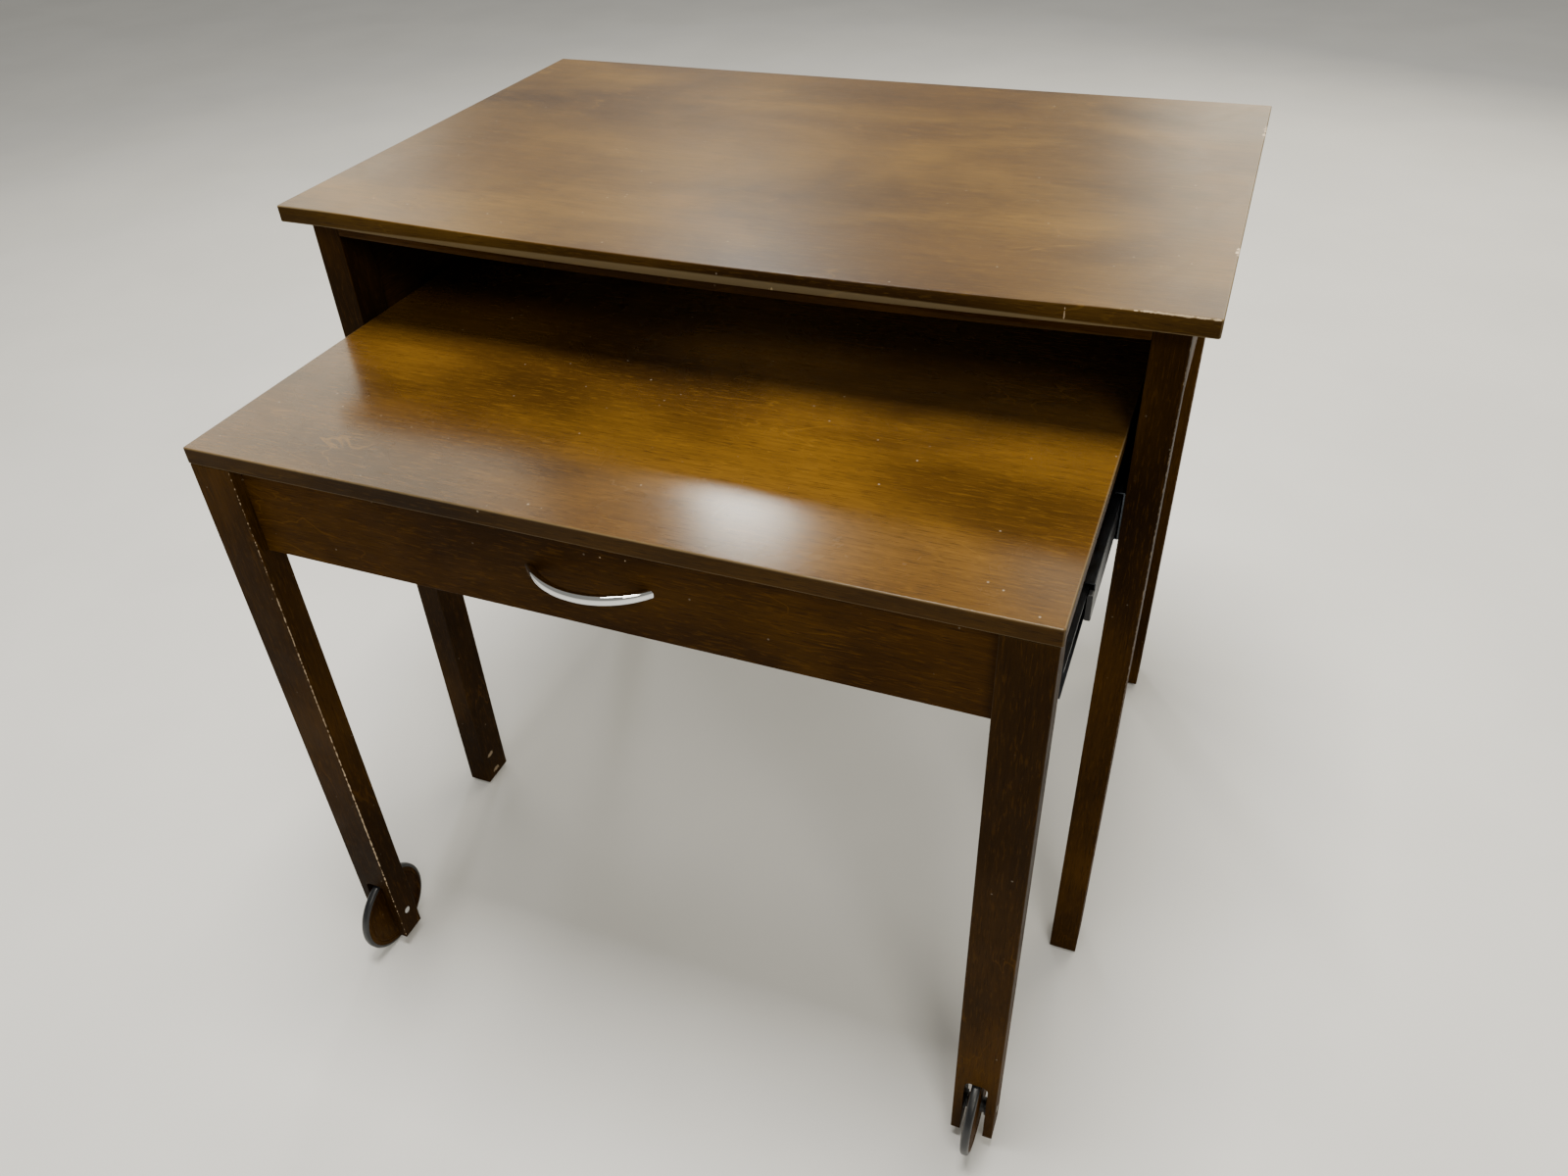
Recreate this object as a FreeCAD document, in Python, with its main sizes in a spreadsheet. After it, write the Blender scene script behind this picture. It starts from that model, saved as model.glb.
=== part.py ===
import FreeCAD, Part
import os
import re
import Sketcher

# Extending writing desk of dark stained board. A fixed rear desk stands on four legs. A lower
# front desk on two wheels pulls out of it along two ball-bearing slides.
#
# Frame: millimetres, +Z up, -Y is the front. The origin is on the floor, under the middle of
# the whole object as it stands with the front desk part-way out.
# "Desk depth" in a comment means a distance back from the front edge of the upper top.

SIZES = {
    # Upper top and the whole desk
    "desk_wide": 819,
    "desk_deep": 518,
    "desk_tall": 762,
    "board_thick": 15,          # every board: tops, panels, rails, fascia
    "top_corner": 2,            # radius of a top's upright corners
    "top_arris": 1.2,           # rounding of a top's long edges
    "arris": 1,                 # rounding of every other wooden edge
    # Fixed legs
    "leg_wide": 28,
    "leg_deep": 40,
    "leg_side_inset": 19,
    "leg_front_inset": 17,
    "leg_rear_inset": 3,
    "glide_tall": 3,
    "glide_dia": 18,
    "glide_taper": 1,           # less radius at the floor
    # Boards between the fixed legs
    "panel_drop": 200,          # height of the side and back panels
    "stretcher_deep": 60,
    "batten_tall": 50,
    # Front desk
    "pull_out": 226,            # its front edge ahead of the upper top's front edge
    "low_top_level": 648.5,
    "low_top_deep": 490,
    "pull_gap": 6.5,            # between the lower top and each fixed leg
    "low_leg_wide": 40,
    "low_leg_deep": 27,
    "low_leg_inset": 1.5,       # from the lower top's side edge
    "low_leg_lift": 15,         # end of the leg above the floor
    "fascia_recess": 10.5,
    "fascia_tall": 85.5,
    "rail_rear_inset": 15,      # lower rails end this far ahead of the lower top's rear edge
    "reveal": 2,                # shadow gap between the fascia and the lower top
    # Handle
    "handle_span": 100,         # between the middles of the feet
    "handle_reach": 24,
    "handle_thick": 7,
    "handle_tall": 8.5,
    "handle_level": 593,
    "handle_off_centre": 3,
    "handle_edge": 2.8,
    # Wheels and axles
    "wheel_dia": 96,
    "disc_wide": 9,
    "tread_thick": 3.5,
    "tread_wide": 8,
    "groove_inset": 5,          # decorative groove, in from the edge of the disc
    "groove_wide": 1.2,
    "groove_deep": 0.8,
    "slot_wide": 22,
    "slot_over": 3,             # slot above the wheel
    "slot_corner": 6,
    "tread_round": 1.575,       # rounding of the tread's edges
    "axle_dia": 8,
    "axle_round": 0.6,          # rounding of the pin's ends
    "axle_play": 0.05,          # radial clearance of the wheel on its axle
    "hub_dia": 14,
    "washer_dia": 18,
    "washer_thick": 2,
    "wheel_play": 0.4,          # end clearance between hub and washer
    # Ball-bearing slides
    "slide_level": 576,
    "slide_thick": 12.7,
    "slide_long": 450,
    "slide_setback": 1,         # cabinet member behind the fixed leg's front face
    "slide_steel": 1.2,
    "slide_bend": 1.08,         # outer radius of a bend
    "slide_turned_edge": 0.9,   # depth of the turned edges of the outer and middle members
    "drawer_turned_edge": 0.6,  # the same of the drawer member
    "slide_gap": 1.5,           # between the webs of the outer and middle members
    "cabinet_tall": 45.6,
    "cabinet_lip": 4.5,         # free edge of its flanges, out from the drawer face
    "middle_tall": 35,
    "middle_lip": 1.7,
    "middle_lead": 118,         # middle member ahead of the cabinet member
    "drawer_tall": 26,
    "drawer_flange": 5.5,
    "drawer_behind_leg": 3,     # drawer member's front end behind the lower leg
    "bumper_long": 8,
    "bumper_tall": 24,
    "bumper_round": 1.2,
    "bumper_inner": 6,          # its inner face, out from the drawer face
    "ball_clear": 0.3,          # ball to raceway
    "outer_ball_line": 8,       # middle of the balls, out from the drawer face
    "inner_ball_line": 4.7,
    "cage_thick": 0.8,
    "cage_pocket": 0.2,         # clearance round a ball in its cage
    "cage_edge": 0.7,           # width of the strip beside a ball
    "outer_cage_front": 77,     # cage's front end behind the cabinet member's
    "inner_cage_front": 55,     # cage's front end behind the middle member's
    "cage_long": 150,
    "ball_pitch": 17,
    # Fasteners
    "slide_screw_dia": 4,
    "slide_screw_long": 13,
    "slide_screw_first": 18,
    "slide_screw_pitch": 206,
    "slide_head_dia": 8,
    "cabinet_head_tall": 1,
    "drawer_head_tall": 1.6,
    "steel_hole_play": 0.5,
    "wood_hole_play": 0.1,
    "screw_end_play": 1,        # pilot hole beyond the end of its screw
    "block_size": 18,
    "block_long": 50,
    "block_inset": 60,          # middle of a block from the end of its panel
    "block_screw_dia": 3.5,
    "block_screw_bite": 10,
    "block_head_dia": 7,
    "block_head_tall": 2,
    "dowel_dia": 8,
    "dowel_long": 36,
    "dowel_inset": 15,          # from the top or bottom edge of a board
    "rail_dowel_bite": 10,      # of the rear rail's dowels into the side rails
    "dowel_end_play": 1,
    "handle_screw_dia": 4,
    "handle_screw_bite": 4,
    "handle_hole_over": 0.5,    # tapped hole beyond the end of its screw
    "handle_screw_spacing": 96,
    "handle_screw_head": 8,
}

OVERSHOOT = 2                   # of a cutting outline past the face that it cuts
BALLS_IN_ROW = 8
SLIDE_SCREWS = 3
SIDES = (("left", -1), ("right", 1))
UP = FreeCAD.Vector(0, 0, 1)

# Places, as expressions of the sizes
LEG_X = "(desk_wide / 2 - leg_side_inset - leg_wide / 2)"
INNER_X = "(desk_wide / 2 - leg_side_inset - leg_wide)"
REAR_LEG_Y = "(desk_deep - leg_rear_inset - leg_deep)"
PANEL_Y = "(leg_front_inset + leg_deep)"
PANEL_LONG = f"({REAR_LEG_Y} - {PANEL_Y})"
PANEL_FACE_X = "(desk_wide / 2 - leg_side_inset - leg_wide / 2 - board_thick / 2)"
BATTEN_THICK = "((leg_wide - board_thick) / 2)"
UNDER_TOP = "(desk_tall - board_thick)"
UNDER_LOW_TOP = "(low_top_level - board_thick)"
LOW_HALF = f"({INNER_X} - pull_gap)"
LOW_LEG_X = f"({LOW_HALF} - low_leg_inset - low_leg_wide / 2)"
LOW_LEG_REAR = "(low_leg_deep - pull_out)"
FASCIA_BOTTOM = f"({UNDER_LOW_TOP} - fascia_tall)"
RAIL_FACE_X = f"({INNER_X} - slide_thick)"
RAIL_X = f"({RAIL_FACE_X} - board_thick / 2)"
RAIL_LONG = "(low_top_deep - low_leg_deep - rail_rear_inset)"
RAIL_REAR = f"({LOW_LEG_REAR} + {RAIL_LONG})"
AXLE_Y = "(low_leg_deep / 2 - pull_out)"
SLOT_TOP = "(wheel_dia + slot_over - low_leg_lift)"
CABINET_Y = "(leg_front_inset + slide_setback)"
MIDDLE_Y = f"({CABINET_Y} - middle_lead)"
DRAWER_Y = f"({LOW_LEG_REAR} + drawer_behind_leg)"
MIDDLE_BACK = "(slide_thick - slide_steel - slide_gap)"
BOW_RISE = "(handle_reach - handle_thick / 2)"
BOW_RADIUS = f"((handle_span ^ 2 / 4 + {BOW_RISE} ^ 2) / (2 * {BOW_RISE}))"
OBJECT_MIDDLE = f"((desk_deep + {AXLE_Y} - wheel_dia / 2) / 2)"

doc = FreeCAD.newDocument("ExtendingDesk")
sheet = doc.addObject("Spreadsheet::Sheet", "Sizes")
nodes = []


def fill_sheet():
    """Put each size in a cell of its own, with its name as the cell's alias."""
    for row, (alias, number) in enumerate(SIZES.items(), start=1):
        sheet.set(f"A{row}", alias)
        sheet.set(f"B{row}", str(number))
        sheet.setAlias(f"B{row}", alias)
    doc.recompute()


def sized(text):
    """An expression in which each name of a size reads its cell."""
    def in_sheet(match):
        word = match.group()
        return f"Sizes.{word}" if word in SIZES else word
    return re.sub(r"[a-z_]+", in_sheet, str(text))


def bind(thing, **properties):
    for name, text in properties.items():
        thing.setExpression(name, sized(text))


def stand(thing, x, y, z):
    """Place a piece: x from the middle, y as a desk depth, z from the floor."""
    thing.setExpression("Placement.Base.x", sized(x))
    thing.setExpression("Placement.Base.y", sized(f"({y}) - {OBJECT_MIDDLE}"))
    thing.setExpression("Placement.Base.z", sized(z))


def keep(thing, label):
    """Name a finished sub-part and list it for writing."""
    thing.Label = label
    nodes.append(thing)
    return thing


# ---------------------------------------------------------------- sketches and features

def new_body(label):
    return keep(doc.addObject("PartDesign::Body", "Body_" + label), label)


def new_sketch(body, role, level="0"):
    """An empty sketch on one of the body's own planes, moved along the plane's axis."""
    plane = [feature for feature in body.Origin.OriginFeatures if feature.Role == role][0]
    sketch = body.newObject("Sketcher::SketchObject", "Sketch")
    sketch.AttachmentSupport = [(plane, "")]
    sketch.MapMode = "FlatFace"
    outward = "-1" if role == "XZ_Plane" else "1"
    sketch.setExpression("AttachmentOffset.Base.z", sized(f"{outward} * ({level})"))
    return sketch


def fix_point(sketch, geometry, point, x, y):
    """Hold a point of a sketch at two expressions from the sketch's origin."""
    for kind, text in (("DistanceX", x), ("DistanceY", y)):
        index = sketch.addConstraint(Sketcher.Constraint(kind, -1, 1, geometry, point, 1.0))
        sketch.setExpression(f"Constraints[{index}]", sized(text))


def draw_outline(sketch, corners):
    """A closed outline of straight sides through the corners."""
    start = [FreeCAD.Vector(number, number * number, 0) for number in range(len(corners))]
    for number in range(len(corners)):
        after = (number + 1) % len(corners)
        sketch.addGeometry(Part.LineSegment(start[number], start[after]), False)
    for number in range(len(corners)):
        after = (number + 1) % len(corners)
        sketch.addConstraint(Sketcher.Constraint("Coincident", number, 2, after, 1))
    for number, (x, y) in enumerate(corners):
        fix_point(sketch, number, 1, x, y)


def draw_circles(sketch, spots, diameter):
    for x, y in spots:
        circle = sketch.addGeometry(Part.Circle(FreeCAD.Vector(), UP, 1), False)
        index = sketch.addConstraint(Sketcher.Constraint("Diameter", circle, 2.0))
        sketch.setExpression(f"Constraints[{index}]", sized(diameter))
        fix_point(sketch, circle, 3, x, y)


def box_corners(left, low, right, high):
    return [(left, low), (right, low), (right, high), (left, high)]


def pad(body, sketch, length, backwards=False):
    feature = body.newObject("PartDesign::Pad", "Pad")
    feature.Profile = sketch
    feature.Reversed = backwards
    bind(feature, Length=length)
    doc.recompute()
    return feature


def pocket(body, sketch, depth, forwards=False):
    """Cut a sketch into the body, against the sketch's normal unless forwards is set."""
    before = body.Shape.Volume
    feature = body.newObject("PartDesign::Pocket", "Pocket")
    feature.Profile = sketch
    feature.Reversed = forwards
    bind(feature, Length=depth)
    doc.recompute()
    if body.Shape.Volume > before - 0.01:
        raise ValueError(f"a pocket of {body.Label} cuts nothing")
    return feature


def revolve(body, sketch, axis):
    feature = body.newObject("PartDesign::Revolution", "Revolution")
    feature.Profile = sketch
    feature.ReferenceAxis = (sketch, [axis])
    feature.Angle = 360
    doc.recompute()
    return feature


def round_edges(body, radius, wanted):
    """Fillet those edges of the body that the test named wanted accepts."""
    tip = body.Tip
    names = []
    for number, edge in enumerate(tip.Shape.Edges, start=1):
        if wanted(edge):
            names.append(f"Edge{number}")
    feature = body.newObject("PartDesign::Fillet", "Fillet")
    feature.Base = (tip, names)
    bind(feature, Radius=radius)
    doc.recompute()


def is_straight(edge):
    return not edge.Degenerated and edge.Curve.TypeId == "Part::GeomLine"


def runs_along(edge, axis):
    if not is_straight(edge):
        return False
    direction = edge.tangentAt(edge.FirstParameter)
    return abs(abs(getattr(direction, axis)) - 1) < 1e-6


def drill(body, role, face, spots, diameter, depth, inward):
    """Drill round holes into a face. inward is +1 to go along the plane's axis, -1 against."""
    sketch = new_sketch(body, role, face)
    draw_circles(sketch, spots, diameter)
    along_normal = inward < 0 if role == "XZ_Plane" else inward > 0
    pocket(body, sketch, depth, along_normal)


def board(label, wide, deep, tall):
    """A plain board: x from its middle, y back from its front face, z up from its bottom."""
    body = new_body(label)
    sketch = new_sketch(body, "XY_Plane")
    draw_outline(sketch, box_corners(f"-1 * {wide} / 2", "0", f"{wide} / 2", deep))
    pad(body, sketch, tall)
    return body


def ease_board(body):
    """Round every straight outer edge a little, as sanding leaves it."""
    round_edges(body, "arris", is_straight)


# ---------------------------------------------------------------- shared joinery

DOWEL_HOLE = "dowel_dia + wood_hole_play"
DOWEL_DEPTH = "dowel_long / 2 + dowel_end_play"


def two_levels(tall):
    """Heights of the two dowels in the end of a board."""
    return ("dowel_inset", f"{tall} - dowel_inset")


def screw(head_dia, head_tall, shank_dia, shank_long, direction):
    """A screw with the underside of its head at the origin, its shank along direction."""
    shank = doc.addObject("Part::Cylinder", "Shank")
    bind(shank, Radius=f"{shank_dia} / 2", Height=shank_long)
    head = doc.addObject("Part::Cone", "Head")
    bind(head, Radius1=f"{head_dia} / 2", Radius2=f"{head_dia} / 3", Height=head_tall)
    head.Placement.Rotation = FreeCAD.Rotation(FreeCAD.Vector(1, 0, 0), 180)
    whole = doc.addObject("Part::Fuse", "Screw")
    whole.Base = shank
    whole.Tool = head
    whole.Placement.Rotation = FreeCAD.Rotation(UP, FreeCAD.Vector(*direction))
    return whole


def group(label, pieces):
    """Identical pieces that share one node, each a solid of its own."""
    compound = doc.addObject("Part::Compound", "Group_" + label)
    compound.Links = pieces
    return keep(compound, label)


def dowel(direction, x, y, z):
    """A dowel whose middle is at the given place."""
    pin = doc.addObject("Part::Cylinder", "Dowel")
    bind(pin, Radius="dowel_dia / 2", Height="dowel_long")
    pin.Placement.Rotation = FreeCAD.Rotation(UP, FreeCAD.Vector(*direction))
    back = "dowel_long / 2"
    stand(pin, f"{x} - {direction[0]} * {back}", f"{y} - {direction[1]} * {back}", z)
    return pin


def glue_blocks(label, screws_label, face_x, spots_y, under):
    """Square blocks in the corner between a top and its side panels, with two screws each."""
    blocks = []
    screws = []
    long = "block_size + block_screw_bite"
    hole = "(block_screw_dia + steel_hole_play) / 2"
    for side, sign in SIDES:
        for y in spots_y:
            box = doc.addObject("Part::Box", "Block")
            bind(box, Length="block_size", Width="block_long", Height="block_size")
            left = face_x if sign < 0 else f"{face_x} - block_size"
            stand(box, f"{'-1 *' if sign < 0 else ''} {left}", f"{y} - block_long / 2",
                  f"{under} - block_size")
            upright = doc.addObject("Part::Cylinder", "Hole")
            bind(upright, Radius=hole, Height="block_size")
            middle = f"{sign} * ({face_x} - block_size / 2)"
            stand(upright, middle, f"{y} - block_long / 4", f"{under} - block_size")
            level = doc.addObject("Part::Cylinder", "Hole")
            bind(level, Radius=hole, Height="block_size")
            level.Placement.Rotation = FreeCAD.Rotation(UP, FreeCAD.Vector(sign, 0, 0))
            stand(level, f"{sign} * ({face_x} - block_size)", f"{y} + block_long / 4",
                  f"{under} - block_size / 2")
            holes = doc.addObject("Part::Fuse", "Holes")
            holes.Base = upright
            holes.Tool = level
            drilled = doc.addObject("Part::Cut", "DrilledBlock")
            drilled.Base = box
            drilled.Tool = holes
            blocks.append(drilled)
            for direction in ((0, 0, 1), (sign, 0, 0)):
                pin = screw("block_head_dia", "block_head_tall", "block_screw_dia", long, direction)
                if direction[2]:
                    stand(pin, middle, f"{y} - block_long / 4", f"{under} - block_size")
                else:
                    stand(pin, f"{sign} * ({face_x} - block_size)", f"{y} + block_long / 4",
                          f"{under} - block_size / 2")
                screws.append(pin)
    group(label, blocks)
    group(screws_label, screws)


BLOCK_HOLE = "block_screw_dia + wood_hole_play"
BLOCK_DEPTH = "block_screw_bite + screw_end_play"


def drill_top_for_blocks(body, face_x, spots_y, front):
    """Pilot holes in the underside of a top, over its glue blocks."""
    spots = []
    for side, sign in SIDES:
        for y in spots_y:
            spots.append((f"{sign} * ({face_x} - block_size / 2)",
                          f"{y} - block_long / 4 - ({front})"))
    drill(body, "XY_Plane", "0", spots, BLOCK_HOLE, BLOCK_DEPTH, 1)


# ---------------------------------------------------------------- fixed desk

UPPER_BLOCKS_Y = (f"({PANEL_Y} + block_inset)", f"({REAR_LEG_Y} - block_inset)")
SLIDE_SPOTS = [f"(slide_screw_first + {n} * slide_screw_pitch)" for n in range(SLIDE_SCREWS)]
SCREW_HOLE = "slide_screw_dia + wood_hole_play"
SCREW_DEPTH = "slide_screw_long + screw_end_play"


def finish_top(body):
    """Rounded upright corners and eased edges of a table top."""
    round_edges(body, "top_corner", lambda edge: runs_along(edge, "z"))
    tall = body.Shape.BoundBox.ZMax

    def on_rim(edge):
        heights = [vertex.Z for vertex in edge.Vertexes]
        level = all(abs(h - heights[0]) < 1e-6 for h in heights)
        return level and min(abs(heights[0]), abs(heights[0] - tall)) < 1e-6
    round_edges(body, "top_arris", on_rim)


def upper_top():
    body = board("upper_top", "desk_wide", "desk_deep", "board_thick")
    finish_top(body)
    drill_top_for_blocks(body, PANEL_FACE_X, UPPER_BLOCKS_Y, "0")
    stand(body, "0", "0", UNDER_TOP)


def fixed_leg(end, side, sign):
    """One of the four fixed legs, drilled for its dowels and, in front, for its slide."""
    tall = f"({UNDER_TOP} - glide_tall)"
    body = board(f"fixed_leg_{end}_{side}", "leg_wide", "leg_deep", tall)
    ease_board(body)
    panel_bottom = f"({tall} - panel_drop)"
    levels = [f"{panel_bottom} + {height}" for height in two_levels("panel_drop")]
    facing_panel = "leg_deep" if end == "front" else "0"
    inner = f"{-sign} * leg_wide / 2"
    drill(body, "XZ_Plane", facing_panel, [("0", z) for z in levels], DOWEL_HOLE, DOWEL_DEPTH,
          -1 if end == "front" else 1)
    if end == "front":
        stretcher = [("leg_deep / 2", f"{tall} - board_thick / 2")]
        drill(body, "YZ_Plane", inner, stretcher, DOWEL_HOLE, DOWEL_DEPTH, sign)
        hold = [("slide_setback + slide_screw_first", "slide_level - glide_tall")]
        drill(body, "YZ_Plane", inner, hold, SCREW_HOLE, SCREW_DEPTH, sign)
    else:
        spots = [("leg_deep - board_thick / 2", z) for z in levels]
        drill(body, "YZ_Plane", inner, spots, DOWEL_HOLE, DOWEL_DEPTH, sign)
    front = "leg_front_inset" if end == "front" else REAR_LEG_Y
    stand(body, f"{sign} * {LEG_X}", front, "glide_tall")


def front_stretcher():
    """Flat board under the upper top, between the front legs."""
    wide = f"(2 * {INNER_X})"
    body = board("front_stretcher", wide, "stretcher_deep", "board_thick")
    ease_board(body)
    for side, sign in SIDES:
        drill(body, "YZ_Plane", f"{sign} * {INNER_X}", [("leg_deep / 2", "board_thick / 2")],
              DOWEL_HOLE, DOWEL_DEPTH, -sign)
    stand(body, "0", "leg_front_inset", f"{UNDER_TOP} - board_thick")


def side_panel(side, sign):
    body = board(f"side_panel_{side}", "board_thick", PANEL_LONG, "panel_drop")
    spots = [("0", z) for z in two_levels("panel_drop")]
    drill(body, "XZ_Plane", "0", spots, DOWEL_HOLE, DOWEL_DEPTH, 1)
    drill(body, "XZ_Plane", PANEL_LONG, spots, DOWEL_HOLE, DOWEL_DEPTH, -1)
    inner = f"{-sign} * board_thick / 2"
    bottom = f"({UNDER_TOP} - panel_drop)"
    hold = [(f"{CABINET_Y} + {y} - {PANEL_Y}", f"slide_level - {bottom}") for y in SLIDE_SPOTS[1:]]
    drill(body, "YZ_Plane", inner, hold, SCREW_HOLE, f"{SCREW_DEPTH} - {BATTEN_THICK}", sign)
    blocks = [(f"{y} + block_long / 4 - {PANEL_Y}", "panel_drop - block_size / 2")
              for y in UPPER_BLOCKS_Y]
    drill(body, "YZ_Plane", inner, blocks, BLOCK_HOLE, BLOCK_DEPTH, sign)
    stand(body, f"{sign} * {LEG_X}", PANEL_Y, bottom)


def slide_batten(side, sign):
    """Packing that brings the side panel out to the leg's inner face behind the slide."""
    body = board(f"slide_batten_{side}", BATTEN_THICK, PANEL_LONG, "batten_tall")
    hold = [(f"{CABINET_Y} + {y} - {PANEL_Y}", "batten_tall / 2") for y in SLIDE_SPOTS[1:]]
    drill(body, "YZ_Plane", f"{-sign} * {BATTEN_THICK} / 2", hold, SCREW_HOLE, BATTEN_THICK, sign)
    stand(body, f"{sign} * ({INNER_X} + {BATTEN_THICK} / 2)", PANEL_Y,
          "slide_level - batten_tall / 2")


def back_panel():
    body = board("back_panel", f"(2 * {INNER_X})", "board_thick", "panel_drop")
    spots = [("board_thick / 2", z) for z in two_levels("panel_drop")]
    for side, sign in SIDES:
        drill(body, "YZ_Plane", f"{sign} * {INNER_X}", spots, DOWEL_HOLE, DOWEL_DEPTH, -sign)
    stand(body, "0", "desk_deep - leg_rear_inset - board_thick", f"{UNDER_TOP} - panel_drop")


def frame_dowels():
    """Dowels that join the fixed legs to the side panels, back panel and stretcher."""
    pins = []
    levels = [f"{UNDER_TOP} - panel_drop + {height}" for height in two_levels("panel_drop")]
    for side, sign in SIDES:
        for z in levels:
            pins.append(dowel((0, 1, 0), f"{sign} * {LEG_X}", PANEL_Y, z))
            pins.append(dowel((0, 1, 0), f"{sign} * {LEG_X}", REAR_LEG_Y, z))
            pins.append(dowel((1, 0, 0), f"{sign} * {INNER_X}",
                              "desk_deep - leg_rear_inset - board_thick / 2", z))
        pins.append(dowel((1, 0, 0), f"{sign} * {INNER_X}", "leg_front_inset + leg_deep / 2",
                          f"{UNDER_TOP} - board_thick / 2"))
    group("frame_dowels", pins)


def leg_glides():
    """A round nylon glide under each fixed leg."""
    glides = []
    for side, sign in SIDES:
        for front in ("leg_front_inset", REAR_LEG_Y):
            glide = doc.addObject("Part::Cone", "Glide")
            bind(glide, Radius1="glide_dia / 2 - glide_taper", Radius2="glide_dia / 2",
                 Height="glide_tall")
            stand(glide, f"{sign} * {LEG_X}", f"{front} + leg_deep / 2", "0")
            glides.append(glide)
    group("leg_glides", glides)


# ---------------------------------------------------------------- slides

def slide_member(label, sign, corners, front):
    """A rolled steel channel. Corners are (out from the drawer face, above the middle)."""
    body = new_body(label)
    sketch = new_sketch(body, "XZ_Plane")
    draw_outline(sketch, [(f"{sign} * ({x})", z) for x, z in corners])
    pad(body, sketch, "slide_long", True)
    stand(body, f"{sign} * {RAIL_FACE_X}", front, "slide_level")
    return body


def channel(back, web, lip, tall, hook):
    """Outline of a channel: its web at back, flanges to lip, each ending in a turned edge."""
    high = f"({tall} / 2)"
    floor = f"({high} - slide_steel)"
    hook_x = f"({lip} + slide_steel * {'1' if web > 0 else '-1'})"
    inner = f"({back} + slide_steel * {'-1' if web > 0 else '1'})"
    upper = [(back, high), (lip, high), (lip, f"{floor} - {hook}"), (hook_x, f"{floor} - {hook}"),
             (hook_x, floor), (inner, floor)]
    lower = [(x, f"-1 * ({z})") for x, z in reversed(upper)]
    return upper + lower


def bend_edges(body, far):
    """Round the outer bends of a rolled channel."""
    box = body.Shape.BoundBox

    def is_bend(edge):
        if not runs_along(edge, "y"):
            return False
        point = edge.Vertexes[0].Point
        at_end = min(abs(point.z - box.ZMin), abs(point.z - box.ZMax)) < 1e-6
        return at_end and abs(point.x - (box.XMax if far > 0 else box.XMin)) < 1e-6
    round_edges(body, "slide_bend", is_bend)


def drill_web(body, sign, face, inward):
    """Clearance holes for the screws through a member's web."""
    spots = [(y, "0") for y in SLIDE_SPOTS]
    hole = "slide_screw_dia + steel_hole_play"
    drill(body, "YZ_Plane", f"{sign} * ({face})", spots, hole, "slide_steel", inward)


def cabinet_member(side, sign):
    corners = channel("slide_thick", 1, "cabinet_lip", "cabinet_tall", "slide_turned_edge")
    body = slide_member(f"slide_cabinet_{side}", sign, corners, CABINET_Y)
    bend_edges(body, sign)
    drill_web(body, sign, "slide_thick - slide_steel", sign)


def middle_member(side, sign):
    corners = channel(MIDDLE_BACK, 1, "middle_lip", "middle_tall", "slide_turned_edge")
    body = slide_member(f"slide_middle_{side}", sign, corners, MIDDLE_Y)
    bend_edges(body, sign)


def drawer_member(side, sign):
    corners = channel("0", -1, "drawer_flange", "drawer_tall", "drawer_turned_edge")
    body = slide_member(f"slide_drawer_{side}", sign, corners, DRAWER_Y)
    bend_edges(body, -sign)
    drill_web(body, sign, "0", sign)


def slide_bumper(side, sign):
    """Plastic buffer on the front end of the middle member."""
    body = new_body(f"slide_bumper_{side}")
    sketch = new_sketch(body, "XZ_Plane")
    corners = box_corners("bumper_inner", "-1 * bumper_tall / 2", MIDDLE_BACK, "bumper_tall / 2")
    draw_outline(sketch, [(f"{sign} * ({x})", z) for x, z in corners])
    pad(body, sketch, "bumper_long", True)
    round_edges(body, "bumper_round", lambda edge: runs_along(edge, "x") or runs_along(edge, "y"))
    stand(body, f"{sign} * {RAIL_FACE_X}", f"{MIDDLE_Y} - bumper_long", "slide_level")


def ball_row(kind, side, sign, gap_top, gap_low, x, front):
    """Balls above and below the slide's middle, with the pierced strips that space them."""
    ball = f"(({gap_top} - {gap_low}) / 2 - ball_clear)"
    level = f"(({gap_top} + {gap_low}) / 2)"
    first = f"((cage_long - {BALLS_IN_ROW - 1} * ball_pitch) / 2)"
    balls = []
    strips = []
    for up in (-1, 1):
        pockets = []
        for number in range(BALLS_IN_ROW):
            where = (f"{sign} * ({RAIL_FACE_X} + {x})", f"{front} + {first} + {number} * ball_pitch")
            sphere = doc.addObject("Part::Sphere", "Ball")
            bind(sphere, Radius=ball)
            stand(sphere, where[0], where[1], f"slide_level + {up} * {level}")
            balls.append(sphere)
            hole = doc.addObject("Part::Cylinder", "Pocket")
            bind(hole, Radius=f"{ball} + cage_pocket", Height="cage_thick")
            stand(hole, where[0], where[1], f"slide_level + {up} * {level} - cage_thick / 2")
            pockets.append(hole)
        strip = doc.addObject("Part::Box", "Strip")
        half = f"({ball} + cage_edge)"
        bind(strip, Length=f"2 * {half}", Width="cage_long", Height="cage_thick")
        stand(strip, f"{sign} * ({RAIL_FACE_X} + {x}) - {half}", front,
              f"slide_level + {up} * {level} - cage_thick / 2")
        holes = doc.addObject("Part::Compound", "Pockets")
        holes.Links = pockets
        pierced = doc.addObject("Part::Cut", "PiercedStrip")
        pierced.Base = strip
        pierced.Tool = holes
        strips.append(pierced)
    group(f"{kind}_cage_{side}", strips)
    group(f"{kind}_balls_{side}", balls)


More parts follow.
